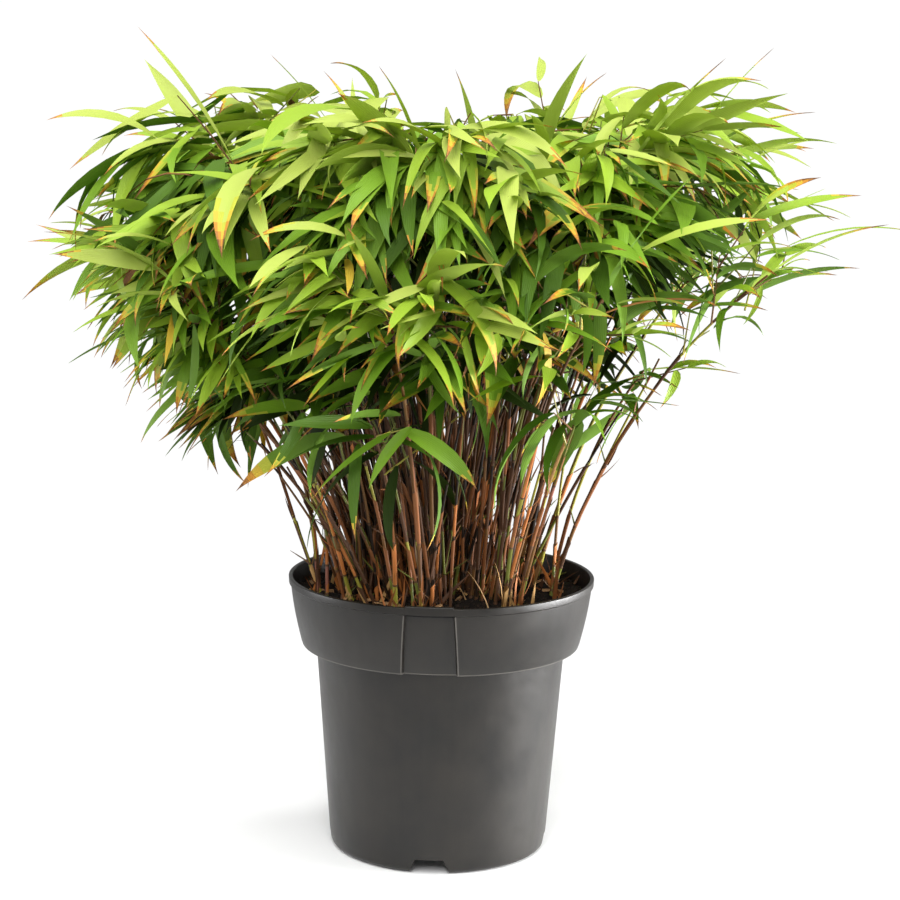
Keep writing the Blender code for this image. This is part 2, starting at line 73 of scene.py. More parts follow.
import bmesh
import bpy
from mathutils import Matrix, Vector, noise
from mathutils.bvhtree import BVHTree

POT_HEIGHT = 0.160
RIM_RADIUS = 0.0885
COLLAR_DEPTH = 0.040
COLLAR_FOOT_RADIUS = 0.0805
BODY_TOP_RADIUS = 0.0722
BASE_RADIUS = 0.0630
WALL = 0.0016
POT_TURN = math.radians(-4.0)
LIP_BEAD = 0.0007
LIP_HEIGHT = 0.0024
FOOT_FILLET = 0.004
FOOT_RING_WIDTH = 0.0075
FLOOR_LIFT = 0.0070
PANEL_WIDTH = 0.030
PANEL_DEPTH = 0.0013
PANEL_SET_BACK = 0.0027
TAB_RISE = 0.0010
PANEL_FLARE = 0.32
GAP = 0.0003
LEDGE = POT_HEIGHT - COLLAR_DEPTH
pot_low, pot_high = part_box("pot")
print("pot", round(1000 * (pot_high.x - pot_low.x), 1), "mm across the rim")

# %% Sizes of the growth rule
SOIL_BELOW_RIM = 0.0105
SOIL_CROWN = 0.0030
SOIL_LUMP = 0.0006
SOIL_LUMP_SIZE = 0.022
CULM_FOOT_RADIUS = 0.0017
CULM_TIP_RADIUS = 0.0011
NODE_SWELL = 1.22
CULM_STEPS = 8
CULM_TRIES = 60
FOOT_RISE = 0.0006
SHOOT_RADIUS = 0.0013
SHOOT_TOP = 0.275
SHOOT_STRAY = 0.030
SHOOT_RISE = 0.003
SHOOT_STEPS = 3
STEM_STEPS = 3
TWIG_RADIUS = 0.0010
TWIG_LENGTH = 0.056
GOLDEN_TURN = math.radians(137.5)
LEAF_LENGTH = 0.083
SOLID_LEAF_WIDTH = 0.0230
LEAF_THICKNESS = 0.011
LEAF_BELLY = 0.36
LEAF_SHARES = (0.28, 0.47, 0.66, 0.83, 0.99)
STEM_LEAF_SHARES = (0.50, 0.66, 0.80, 0.92)
LEAF_TRIES = 40
TWIG_TRIES = 16
CELL_MARGIN = 0.0004
LIMB_CLEARANCE = 0.0005
CROWN_TOP = 0.469
CROWN_DIP = 0.012
CROWN_REACH = 0.256
RAGGED_TOP = 0.030
RAGGED_REACH = 0.20
CROWN_WAIST = 0.355
CROWN_SLOPE = 0.86
CROWN_SKEW = 0.20
HANG_BELOW, LIFT_ABOVE = 0.25, 0.42
SEED = 28

TIERS = {
    "centre": dict(count=1, turn=0, foot=0.004, tip=0.008, height=0.356, bend=3, stem=0.042, twigs=4),
    "heart": dict(count=4, turn=40, foot=0.024, tip=0.056, height=0.354, bend=8, stem=0.050, twigs=4),
    "core": dict(count=3, turn=30, foot=0.040, tip=0.068, height=0.268, bend=10, stem=0.042, twigs=5),
    "shoulder": dict(count=7, turn=8, foot=0.052, tip=0.112, height=0.352, bend=20, stem=0.054, twigs=4),
    "brim": dict(count=8, turn=30, foot=0.064, tip=0.136, height=0.296, bend=26, stem=0.056, twigs=5),
    "skirt": dict(count=6, turn=12, foot=0.070, tip=0.096, height=0.238, bend=18, stem=0.040, twigs=3),
}

# %% [markdown]
# ## Camera
# A long lens stands a little above the crown's middle height and looks slightly down, so the round
# rim shows as a narrow ellipse. A camera can be aimed with a constraint or by angles. Plain angles
# are used, because they also hold the small roll.

# %% Camera
CAMERA_PLACE = Vector((0.0038, -1.359, 0.463))
CAMERA_PITCH = math.radians(9.6)
CAMERA_ROLL = math.radians(0.9)
CAMERA_LENS = 95.8

camera = bpy.data.objects.new("camera", bpy.data.cameras.new("camera"))
camera.data.lens = CAMERA_LENS
camera.data.sensor_width = 36.0
aim = Matrix.Rotation(math.pi / 2 - CAMERA_PITCH, 4, "X") @ Matrix.Rotation(CAMERA_ROLL, 4, "Z")
camera.matrix_world = Matrix.Translation(CAMERA_PLACE) @ aim
bpy.context.scene.collection.objects.link(camera)
bpy.context.scene.camera = camera
print("camera", round(CAMERA_PLACE.length, 2), "m from the pot's foot")

# %% [markdown]
# ## Light
# The studio is a white tent with large soft lamps overhead and in front, a wide low strip at the
# right and a small lamp at the left. The tent is seen brighter than it lights, so that the plant
# keeps its dark inside. The display transform is the plain one, so colours show as they are.

# %% Light
def area_lamp(name, place, target, size, power, tall=None, spread=180):
    """A soft lamp that faces a point: a square, or a strip of another height."""
    lamp = bpy.data.lights.new(name, "AREA")
    lamp.shape = "RECTANGLE"
    lamp.size, lamp.size_y, lamp.energy = size, tall or size, power
    lamp.spread = math.radians(spread)
    made = bpy.data.objects.new(name, lamp)
    made.location = place
    made.rotation_euler = (Vector(target) - Vector(place)).to_track_quat("-Z", "Y").to_euler()
    bpy.context.scene.collection.objects.link(made)


def tent(lit, seen):
    """A white world that lights the plant with one strength and shows behind it with another."""
    made = bpy.data.worlds.new("tent")
    made.use_nodes = True
    nodes, links = made.node_tree.nodes, made.node_tree.links
    wall, backdrop = nodes["Background"], nodes.new("ShaderNodeBackground")
    wall.inputs["Strength"].default_value = lit
    backdrop.inputs["Strength"].default_value = seen
    for one in (wall, backdrop):
        one.inputs["Color"].default_value = (1.0, 1.0, 1.0, 1.0)
    path, both = nodes.new("ShaderNodeLightPath"), nodes.new("ShaderNodeMixShader")
    links.new(path.outputs["Is Camera Ray"], both.inputs[0])
    links.new(wall.outputs[0], both.inputs[1])
    links.new(backdrop.outputs[0], both.inputs[2])
    links.new(both.outputs[0], nodes["World Output"].inputs["Surface"])
    return made


bpy.context.scene.world = tent(lit=0.48, seen=1.02)
bpy.context.scene.view_settings.view_transform = "Standard"
area_lamp("lamp_top", (-0.05, -0.45, 1.9), (0, 0, 0.3), size=1.5, power=43)
area_lamp("lamp_front", (-0.20, -1.90, 1.6), (0, 0, 0.25), size=1.2, power=42)
area_lamp("lamp_right", (1.2, 0.06, 0.16), (0, 0, 0.1), size=1.3, power=10.5, tall=0.3, spread=60)
area_lamp("lamp_left", (-1.2, 0.10, 0.26), (0, 0, 0.1), size=0.5, power=8)

# %% [markdown]
# ## Shader maths as Python
# A finish is a small graph of nodes. Wiring it by hand is long to read, so one class wraps a socket
# and gives it +, - and *, and another adds any other node from its type, settings and inputs.

# %% Wire and Finish
class Wire:
    """An output socket. Arithmetic on it adds Math nodes to the finish that it belongs to."""

    def __init__(self, finish, socket):
        self.finish, self.socket = finish, socket

    def maths(self, operation, first, second):
        return self.finish.node("ShaderNodeMath", {"operation": operation}, {0: first, 1: second})

    def __add__(self, other):
        return self.maths("ADD", self, other)

    def __radd__(self, other):
        return self.maths("ADD", other, self)

    def __sub__(self, other):
        return self.maths("SUBTRACT", self, other)

    def __rsub__(self, other):
        return self.maths("SUBTRACT", other, self)

    def __mul__(self, other):
        return self.maths("MULTIPLY", self, other)

    def __rmul__(self, other):
        return self.maths("MULTIPLY", other, self)

    def sine(self):
        return self.maths("SINE", self, 0.0)


class Finish:
    """A material built from its Principled shader outwards."""

    def __init__(self, name, **sockets):
        self.material = bpy.data.materials.new(name)
        self.material.use_nodes = True
        self.tree = self.material.node_tree
        self.shader = self.tree.nodes["Principled BSDF"]
        self.set(**sockets)

    def set(self, **sockets):
        """Sets the shader's sockets, named with _ for a space."""
        for name, value in sockets.items():
            self.feed(self.shader.inputs[name.replace("_", " ")], value)

    def feed(self, socket, value):
        """Links a wire to a socket, or gives the socket a number or a colour."""
        if isinstance(value, Wire):
            self.tree.links.new(value.socket, socket)
        elif socket.type == "RGBA":
            socket.default_value = (*value, 1.0)
        else:
            socket.default_value = value

    def node(self, kind, settings=None, inputs=None, output=0):
        """Adds a node: first its settings, then its inputs. Returns one of its outputs."""
        made = self.tree.nodes.new(kind)
        for name, value in (settings or {}).items():
            if name == "stops":
                set_stops(made.color_ramp, value)
            else:
                setattr(made, name, value)
        for key, value in (inputs or {}).items():
            self.feed(made.inputs[key], value)
        return Wire(self, made.outputs[output])

    def place(self, output="Object"):
        return self.node("ShaderNodeTexCoord", output=output)

    def clouds(self, scale, detail=3.0, roughness=0.5, where=None):
        """Soft noise from 0 to 1 in the object's own space, in features of about 1 / scale metres."""
        inputs = {"Vector": where or self.place(), "Scale": scale, "Detail": detail, "Roughness": roughness}
        return self.node("ShaderNodeTexNoise", None, inputs)

    def ramp(self, value, stops):
        """Numbers from 0 to 1 by stops of (place, grey)."""
        return self.node("ShaderNodeValToRGB", {"stops": stops}, {0: value})

    def mix(self, share, first, second):
        """A colour between two, by a share."""
        settings = {"data_type": "RGBA"}
        return self.node("ShaderNodeMix", settings, {0: share, 6: first, 7: second}, output=2)

    def stretched(self, scale):
        """The object's own space, scaled apart along X, Y and Z."""
        settings = {"operation": "MULTIPLY"}
        return self.node("ShaderNodeVectorMath", settings, {0: self.place(), 1: scale})

    def relief(self, height, depth, strength=1.0, base=None):
        """A Bump node whose full height is depth metres. base is a relief that lies under it."""
        inputs = {"Height": height, "Distance": depth, "Strength": strength}
        if base is not None:
            inputs["Normal"] = base
        return self.node("ShaderNodeBump", None, inputs)


def set_stops(ramp, stops):
    """Gives a colour ramp its stops, as (place, grey)."""
    while len(ramp.elements) < len(stops):
        ramp.elements.new(1.0)
    for element, (place, grey) in zip(ramp.elements, stops):
        element.position = place
        element.color = (grey, grey, grey, 1.0)


def colour(red, green, blue):
    """A display colour from 0 to 255 as linear light."""
    shares = (value / 255 for value in (red, green, blue))
    return tuple(s / 12.92 if s <= 0.04045 else ((s + 0.055) / 1.055) ** 2.4 for s in shares)


print("shader tools ready")

# %% [markdown]
# ## Joined pieces
# A bamboo has thousands of leaves. One object for each would be slow to draw and to export, so the
# leaves, the twigs and the crumbs are each collected into one mesh of plain corners and faces.

# %% Stock, which joins many small things
class Stock:
    """Collects corners and faces of many small things that become one mesh."""

    def __init__(self, name, finishes):
        self.name, self.finishes = name, finishes
        self.corners, self.faces, self.slots, self.spots = [], [], [], []

    def add(self, corners, faces, slots=0, spots=None):
        """Adds one thing. slots is its finish, or one for each face, and spots its UV points."""
        start = len(self.corners)
        self.corners += [tuple(corner) for corner in corners]
        self.faces += [tuple(start + i for i in face) for face in faces]
        self.slots += [slots] * len(faces) if isinstance(slots, int) else slots
        self.spots += spots or [(0.0, 0.0)] * len(corners)

    def build(self, sharp=50):
        """The joined mesh as an object, smooth but for edges sharper than an angle in degrees."""
        mesh = bpy.data.meshes.new(self.name)
        mesh.from_pydata(self.corners, [], self.faces)
        for finish in self.finishes:
            mesh.materials.append(finish.material)
        mesh.polygons.foreach_set("material_index", self.slots)
        chart = mesh.uv_layers.new(name="blade")
        flat = [share for loop in mesh.loops for share in self.spots[loop.vertex_index]]
        chart.data.foreach_set("uv", flat)
        mesh.shade_smooth()
        mesh.set_sharp_from_angle(angle=math.radians(sharp))
        made = bpy.data.objects.new(self.name, mesh)
        bpy.context.scene.collection.objects.link(made)
        print(self.name, sum(len(face) - 2 for face in self.faces), "triangles")
        return made


def dress(piece, slot, *nodes):
    """Puts a piece on the one body and hides the solids it stands for. slot is not used."""
    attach(piece, "root")
    if nodes:
        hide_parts(*nodes)


def grid(rows, columns, closed=False):
    """Faces between rows of corners, which lie row after row. A closed grid joins its sides."""
    faces = []
    for r in range(rows - 1):
        for c in range(columns if closed else columns - 1):
            a, b = r * columns + c, r * columns + (c + 1) % columns
            faces.append((a, b, b + columns, a + columns))
    return faces


def round_points(radius, count):
    """Points evenly round a level circle, as (x, y)."""
    turns = [2 * math.pi * k / count for k in range(count)]
    return [(radius * math.cos(turn), radius * math.sin(turn)) for turn in turns]


def tube(points, radii, sides):
    """Corners and faces of a closed tube with flat ends along a line of points."""
    corners = []
    across = Vector((1, 0, 0))
    for i, (point, radius) in enumerate(zip(points, radii)):
        along = (points[min(i + 1, len(points) - 1)] - points[max(i - 1, 0)]).normalized()
        across = (across - along * across.dot(along)).normalized()
        beside = along.cross(across)
        turns = [2 * math.pi * k / sides for k in range(sides)]
        corners += [point + (across * math.cos(t) + beside * math.sin(t)) * radius for t in turns]
    ends = [tuple(reversed(range(sides))), tuple(range(len(corners) - sides, len(corners)))]
    return corners, ends + grid(len(points), sides, True)


print("mesh tools ready")

# %% Small draws of chance
FULL_TURN = 6.28


def pick(weights, dice):
    """A name drawn from a table of names and their weights."""
    return dice.choices(list(weights), list(weights.values()))[0]


def stray(dice, axes=3):
    """A step astray, up to 1 each way, in space or on the level."""
    return Vector([dice.uniform(-1, 1) for _ in range(axes)] + [0] * (3 - axes))


def any_side(line, dice):
    """A direction square to a line, to any side of it."""
    return Matrix.Rotation(dice.uniform(0, FULL_TURN), 3, line) @ line.orthogonal().normalized()


print("chance tools ready")

# %% [markdown]
# ## Moulded plastic
# The pot is recycled plastic: near black, a little brown, with a fine moulded grain and dust that
# lies in soft patches and streaks. The edges of the collar are lighter, partly scuffed and partly a
# painted highlight, and a painted shadow lies in the groove under the rim over the label panel, so
# there are two more finishes from the same rule.

# %% Finishes of the pot
def moulded(name, dark, dusty, roughness):
    """Matt plastic with soft patches of dust and a fine grain."""
    made = Finish(name, Specular_IOR_Level=0.40)
    patches = made.ramp(made.clouds(28, 6, 0.6), [(0.35, 0.0), (0.75, 1.0)])
    streaks = made.clouds(1.0, 3, 0.5, made.stretched((160, 160, 14)))
    grain = made.clouds(2600, 2)
    made.set(Base_Color=made.mix(patches * 0.6 + streaks * 0.4, dark, dusty))
    made.set(Roughness=roughness + patches * 0.12 - streaks * 0.08)
    soft = made.relief(made.clouds(45, 2), 0.0012, 0.35)
    made.set(Normal=made.relief(grain, 0.00012, 0.6, soft))
    return made


PLASTIC = moulded("pot_plastic", colour(10, 9, 8), colour(36, 32, 27), 0.38)
# Lighter edges: partly scuffs, partly a painted highlight.
SCUFFED_HIGHLIT = moulded("pot_plastic_scuffed_highlit", colour(60, 58, 55), colour(92, 88, 82), 0.55)
# A near-black finish that paints the shadow in the groove under the rim, over the label panel.
PAINTED_SHADOW = moulded("pot_plastic_painted_shadow", colour(3, 3, 2), colour(8, 7, 5), 0.7)
print("plastic finishes", PLASTIC.material.name, SCUFFED_HIGHLIT.material.name, PAINTED_SHADOW.material.name)

# %% [markdown]
# ## The pot
# It is one moulded shell: a foot ring, a raised floor, a tapering wall, a ledge and a stepped-out
# collar with a bead at the rim. A lathe would do for all of it but the label panel, which is set
# back in the front of the collar. So columns of one profile are turned one by one, close together
# at the panel's edges, and the drain holes and notches are cut out by a Boolean.

# %% The pot's profile
RIM_BEAD = 0.0006
EDGE_ROUND = 0.0008
COLLAR_BELLY = 0.0009
LIP_FOOT = POT_HEIGHT - 2 * LIP_HEIGHT
WALL_SHARES = (0.075, 0.25, 0.5, 0.75, 0.97)
COLLAR_SHARES = (0, 0.1, 0.3, 0.5, 0.7, 0.9, 0.975, 1.0)
COLLAR_START = LEDGE + 0.0022


def wall_radius(z):
    """Outer radius of the pot's wall at a height below the collar."""
    return BASE_RADIUS + (BODY_TOP_RADIUS - BASE_RADIUS) * z / LEDGE


def collar_radius(z):
    """Outer radius of the collar, which bellies a little between its foot and its rim."""
    share = (z - LEDGE) / COLLAR_DEPTH
    return COLLAR_FOOT_RADIUS + (RIM_RADIUS - LIP_BEAD - COLLAR_FOOT_RADIUS) * share \
        + COLLAR_BELLY * math.sin(math.pi * share)


def arc_of(radius, height, size, first, last, steps=4):
    """Points of a rounded edge round a centre, between two angles in degrees."""
    angles = [math.radians(first + (last - first) * i / steps) for i in range(steps + 1)]
    return [(radius + size * math.cos(a), height + size * math.sin(a)) for a in angles]


def pot_profile():
    """The wall from under the floor, up outside and down inside to the floor's top.

    Each point is (radius, height, whether the panel sets it back, whether it is a lighter edge,
    partly scuffed and partly a painted highlight)."""
    foot_inside, inner_rim = BASE_RADIUS - FOOT_RING_WIDTH, RIM_RADIUS - WALL - LIP_BEAD
    floor_top, bead_z = FLOOR_LIFT + WALL, POT_HEIGHT - RIM_BEAD
    wall = [(foot_inside, FLOOR_LIFT), (foot_inside, 0.001), (foot_inside + 0.0008, 0.0)]
    wall += arc_of(BASE_RADIUS - FOOT_FILLET, FOOT_FILLET, FOOT_FILLET, -90, 0, 6)
    wall += [(wall_radius(LEDGE * s), LEDGE * s) for s in WALL_SHARES]
    wall += [(BODY_TOP_RADIUS, LEDGE - 0.001), (BODY_TOP_RADIUS + 0.0008, LEDGE)]
    foot = arc_of(COLLAR_FOOT_RADIUS - EDGE_ROUND, LEDGE + EDGE_ROUND, EDGE_ROUND, -90, 0)
    heights = [COLLAR_START + (LIP_FOOT - COLLAR_START) * s for s in COLLAR_SHARES]
    collar = [(collar_radius(z), z) for z in heights]
    lip = [(RIM_RADIUS - 0.0002, POT_HEIGHT - 1.65 * LIP_HEIGHT)]
    lip += arc_of(RIM_RADIUS - RIM_BEAD, bead_z, RIM_BEAD, 0, 90)
    lip += arc_of(inner_rim + RIM_BEAD, bead_z, RIM_BEAD, 90, 180)
    collar_inside = [(inner_rim, LIP_FOOT), (COLLAR_FOOT_RADIUS - WALL, LEDGE + WALL)]
    inside = [(BODY_TOP_RADIUS - WALL, LEDGE + WALL), (wall_radius(floor_top) - WALL, floor_top)]
    stretches = [(wall, 0, 0), (foot, 1, 1), (collar, 1, 0), (lip, 0, 0), (collar_inside, 1, 0)]
    stretches.append((inside, 0, 0))
    return [(r, z, set_back, worn_and_highlit) for points, set_back, worn_and_highlit in stretches for r, z in points]


print("profile rows", len(pot_profile()))

# %% The pot's mesh
POT_COLUMNS = 220
PANEL_HALF = PANEL_WIDTH / 2 / RIM_RADIUS
CUT_EDGE = 0.005
EDGE_STRIP = 0.009
STRIP_NEAR = PANEL_HALF + CUT_EDGE - 1e-6
STRIP_FAR = PANEL_HALF + CUT_EDGE + EDGE_STRIP + 1e-6


def pot_columns():
    """Angles round the pot from the panel's middle, close together at the panel's edges."""
    edges = [0.0, PANEL_HALF / 3, PANEL_HALF * 2 / 3, PANEL_HALF, PANEL_HALF + CUT_EDGE]
    edges += [PANEL_HALF + CUT_EDGE + EDGE_STRIP]
    count = POT_COLUMNS // 2
    start = edges[-1] + 0.012
    edges += [start + (math.pi - start) * k / count for k in range(count + 1)]
    return [-a for a in reversed(edges[1:-1])] + edges


def flared(angle, z):
    """A column's angle at a height: the panel's edges splay towards its foot."""
    share = max(-0.5, min(0.5, 0.5 - (z - POT_HEIGHT + COLLAR_DEPTH) / COLLAR_DEPTH))
    return angle * (1 + PANEL_FLARE * share * max(0.0, 1 - abs(angle) / 0.6))


def pot_slot(low, high, beside):
    """The finish of a face between two rows of the profile and two columns: 0, 1 or 2."""
    in_strip = STRIP_NEAR < beside[0] and beside[1] < STRIP_FAR
    lip_shadow_row = low[0] > COLLAR_FOOT_RADIUS and LIP_FOOT - 0.0012 < low[1] < LIP_FOOT + 0.0001
    # Faces just under the lip, over the panel, take the painted shadow.
    if lip_shadow_row and beside[1] < PANEL_HALF + 1e-6:
        return 2
    # The collar's foot and the strips beside the panel take the lighter finish: scuffs and a painted
    # highlight.
    return 1 if low[3] and high[3] or in_strip and low[2] and high[2] else 0


def build_pot():
    """The shell: columns of the profile, and a middle to each side of the floor."""
    profile, angles = pot_profile(), pot_columns()
    rows, columns = len(profile), len(angles)
    corners, faces, slots = [], [], []
    for angle in angles:
        in_panel = abs(angle) <= PANEL_HALF + 1e-6
        for radius, z, recessed, _ in profile:
            turned = flared(angle, z) + POT_TURN - math.pi / 2
            r = radius - (PANEL_SET_BACK if recessed and in_panel else 0.0)
            tab = TAB_RISE if in_panel and z > POT_HEIGHT - LIP_HEIGHT else 0.0
            corners.append((r * math.cos(turned), r * math.sin(turned), z + tab))
    for c in range(columns):
        after = (c + 1) % columns
        beside = sorted((abs(angles[c]), abs(angles[after])))
        for r in range(rows - 1):
            faces.append((c * rows + r, after * rows + r, after * rows + r + 1, c * rows + r + 1))
            slots.append(pot_slot(profile[r], profile[r + 1], beside))
    under = len(corners)
    corners += [(0, 0, FLOOR_LIFT), (0, 0, FLOOR_LIFT + WALL)]
    for c in range(columns):
        foot, foot_after = c * rows, (c + 1) % columns * rows
        faces += [(under, foot_after, foot), (under + 1, foot + rows - 1, foot_after + rows - 1)]
    slots += [0, 0] * columns
    stock = Stock("pot_shell", [PLASTIC, SCUFFED_HIGHLIT, PAINTED_SHADOW])
    stock.add(corners, faces, slots)
    return stock.build(32)


pot = build_pot()

# %% [markdown]
# ## Notches and holes
# Water leaves through four round holes in the raised floor and four notches in the foot ring. They
# could be modelled into the columns. A Boolean is simpler, because no notch lies on a column.

# %% Cut the notches and the drain holes
NOTCH_COUNT = 4
NOTCH_HEIGHT = 0.0084
NOTCH_TOP_WIDTH = 0.016
NOTCH_FOOT_WIDTH = 0.023
DRAIN_COUNT = 4
DRAIN_RADIUS = 0.0048
DRAIN_CIRCLE = 0.036


def notch_cutter(k):
    """A trapezoid bar across the foot ring."""
    near, far, below = BASE_RADIUS - FOOT_RING_WIDTH - 0.004, BASE_RADIUS + 0.004, -0.002
    spread = (NOTCH_FOOT_WIDTH - NOTCH_TOP_WIDTH) / 2 / NOTCH_HEIGHT
    foot, top = NOTCH_FOOT_WIDTH / 2 - spread * below, NOTCH_TOP_WIDTH / 2
    section = [(-foot, below), (foot, below), (top, NOTCH_HEIGHT), (-top, NOTCH_HEIGHT)]
    turn = Matrix.Rotation(POT_TURN + math.pi + 2 * math.pi * k / NOTCH_COUNT, 3, "Z")
    corners = [turn @ Vector((x, y, z)) for y in (near, far) for x, z in section]
    return corners, [(0, 1, 2, 3), (7, 6, 5, 4), (0, 4, 5, 1), (1, 5, 6, 2), (2, 6, 7, 3), (3, 7, 4, 0)]


def drain_cutter(k):
    """A round bar through the raised floor."""
    turn = POT_TURN + 2 * math.pi * (k + 0.5) / DRAIN_COUNT
    foot = Vector((DRAIN_CIRCLE * math.cos(turn), DRAIN_CIRCLE * math.sin(turn), FLOOR_LIFT - 0.003))
    return tube([foot, foot + Vector((0, 0, 0.008))], [DRAIN_RADIUS] * 2, 24)


cutter = Stock("cutter", [PLASTIC])
for k in range(NOTCH_COUNT):
    cutter.add(*notch_cutter(k))
for k in range(DRAIN_COUNT):
    cutter.add(*drain_cutter(k))
cutter = cutter.build()
cut = pot.modifiers.new("cut", "BOOLEAN")
cut.operation, cut.object, cut.solver = "DIFFERENCE", cutter, "EXACT"
bpy.context.view_layer.update()
graph = bpy.context.evaluated_depsgraph_get()
pot.data = bpy.data.meshes.new_from_object(pot.evaluated_get(graph))
pot.modifiers.clear()
bpy.data.objects.remove(cutter)
dress(pot, "pot_plastic", "pot")
print("pot faces", len(pot.data.polygons))

# %% [markdown]
# ## Potting soil
# Peat compost is nearly black crumbs with pale chips of wood. A bumpy disc alone looks like tar,
# so the ground mesh is lumpy and real crumbs are strewn on it. Crumbs are low twenty-sided lumps
# pulled out of round, joined into one mesh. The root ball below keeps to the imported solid.

# %% Finishes of the soil
def earthy(name, dark, light, roughness=0.95):
    """Crumbly matter: fine light specks over a dark ground."""
    made = Finish(name, Specular_IOR_Level=0.2)
    specks = made.ramp(made.clouds(900, 5, 0.65), [(0.45, 0.0), (0.72, 1.0)])
    made.set(Base_Color=made.mix(specks, dark, light))
    made.set(Roughness=roughness - specks * 0.15)
    made.set(Normal=made.relief(made.clouds(1400, 6, 0.7), 0.0006, 0.8))
    return made


PEAT = earthy("potting_soil", colour(20, 16, 14), colour(46, 36, 28))
CRUMB = earthy("potting_soil_crumb", colour(26, 20, 17), colour(62, 46, 34))
CHIP = earthy("wood_chip", colour(150, 112, 76), colour(205, 168, 124), 0.8)
print("soil finishes", len(bpy.data.materials))

# %% The ground and its root ball
SOIL_COLUMNS = 180
SOIL_RINGS = 56
CLOD_SIZE = 0.0055
CLOD_RISE = 0.0016
BALL_CLEAR = 0.0004
BALL_SHOULDER = 0.0006
SURFACE_OVER = 0.0009


def soil_height(x, y):
    """Height of the potting soil: a low dome with soft lumps that die out at the wall."""
    radius = math.hypot(x, y)
    edge = RIM_RADIUS - WALL
    inwards = max(0.0, 1 - (radius / edge) ** 2)
    lump = noise.noise(Vector((x, y, 0)) / SOIL_LUMP_SIZE)
    return POT_HEIGHT - SOIL_BELOW_RIM + SOIL_CROWN * inwards + SOIL_LUMP * lump * min(1.0, 3 * inwards)


def clod_height(x, y):
    """The soil's height with its clods."""
    spot = Vector((x, y, 0.3)) / CLOD_SIZE
    return soil_height(x, y) + CLOD_RISE * (noise.noise(spot) + 0.5 * noise.noise(spot * 2.3) - 0.15)


def build_soil():
    """The root ball to a gap of the pot's wall, with a lumpy top."""
    floor_top, surface = FLOOR_LIFT + WALL, POT_HEIGHT - SOIL_BELOW_RIM
    taper = (RIM_RADIUS - COLLAR_FOOT_RADIUS) / COLLAR_DEPTH
    inset = WALL + GAP + LIP_BEAD + PANEL_DEPTH + BALL_CLEAR
    edge = COLLAR_FOOT_RADIUS + taper * (surface - LEDGE) - inset
    side = [
        (wall_radius(floor_top) - WALL - 2 * GAP, floor_top + GAP),
        (BODY_TOP_RADIUS - WALL - 2 * GAP, LEDGE + WALL),
        (BODY_TOP_RADIUS - WALL - 2 * GAP, LEDGE + WALL + GAP),
        (COLLAR_FOOT_RADIUS - inset, LEDGE + WALL + GAP),
        (edge + BALL_SHOULDER, surface - 0.002),
    ]
    corners = [(x, y, z) for r, z in side for x, y in round_points(r, SOIL_COLUMNS)]
    for ring in range(SOIL_RINGS):
        radius = (edge + SURFACE_OVER) * (1 - ring / SOIL_RINGS)
        corners += [(x, y, clod_height(x, y)) for x, y in round_points(radius, SOIL_COLUMNS)]
    faces = grid(len(corners) // SOIL_COLUMNS, SOIL_COLUMNS, True)
    faces.append(tuple(reversed(range(SOIL_COLUMNS))))
    faces.append(tuple(range(len(corners) - SOIL_COLUMNS, len(corners))))
    stock = Stock("soil_ground", [PEAT])
    stock.add(corners, faces)
    return stock.build(80)


dress(build_soil(), "potting_soil", "soil")

# %% Crumbs and chips
CRUMB_COUNT = 2200
CHIP_COUNT = 46
STREW_RADIUS = 0.0835


def strewn(dice):
    """A point on the soil, evenly strewn."""
    radius, turn = STREW_RADIUS * math.sqrt(dice.random()), dice.uniform(0, 2 * math.pi)
    x, y = radius * math.cos(turn), radius * math.sin(turn)
    return Vector((x, y, clod_height(x, y)))


def lump(size, dice):
    """A crumb of twenty faces, pulled out of round."""
    made = bmesh.new()
    bmesh.ops.create_icosphere(made, subdivisions=1, radius=size)
    stretch = Vector([dice.uniform(0.55, 1.3) for _ in range(3)])
    turn = Matrix.Rotation(dice.uniform(0, FULL_TURN), 3, stray(dice))
    points = [turn @ (v.co * stretch) * dice.uniform(0.72, 1.2) for v in made.verts]
    faces = [[v.index for v in face.verts] for face in made.faces]
    made.free()
    return points, faces


def chip(length, width, dice):
    """A flat splinter of wood, as a thin bent bar."""
    turn = Matrix.Rotation(dice.uniform(0, FULL_TURN), 3, "Z")
    turn = turn @ Matrix.Rotation(dice.uniform(-0.5, 0.5), 3, "Y")
    points = []
    for s in (-0.5, -0.2, 0.15, 0.5):
        half = width / 2 * (1 - 1.3 * s * s) * dice.uniform(0.75, 1.1)
        rise = length * 0.12 * (0.25 - s * s)
        thick = width * 0.22
        for y, z in ((-half, -thick), (half, -thick), (half * 0.9, thick), (-half * 0.9, thick)):
            points.append(turn @ Vector((s * length, y, z + rise)))
    return points, [(3, 2, 1, 0), (12, 13, 14, 15)] + grid(4, 4, True)


dice = random.Random(SEED + 500)
crumbs = Stock("soil_crumbs", [CRUMB, PEAT])
for _ in range(CRUMB_COUNT):
    at = strewn(dice)
    points, faces = lump(0.0006 + 0.0016 * dice.random() ** 2.5, dice)
    crumbs.add([point + at for point in points], faces, dice.choice((0, 0, 1)))
chips = Stock("wood_chips", [CHIP])
for _ in range(CHIP_COUNT):
    at = strewn(dice) + Vector((0, 0, 0.0008))
    points, faces = chip(dice.uniform(0.004, 0.014), dice.uniform(0.0015, 0.0045), dice)
    chips.add([point + at for point in points], faces)
for stock in (crumbs, chips):
    dress(stock.build(40), "potting_soil")

# %% [markdown]
# ## The growth rule
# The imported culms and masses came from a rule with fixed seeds, so the same rule is run again here
# and gives back every culm, stem, twig and leaf by its line and its heading. Reading the solids'
# corners would tell less, because a union has lost which faces were one leaf.

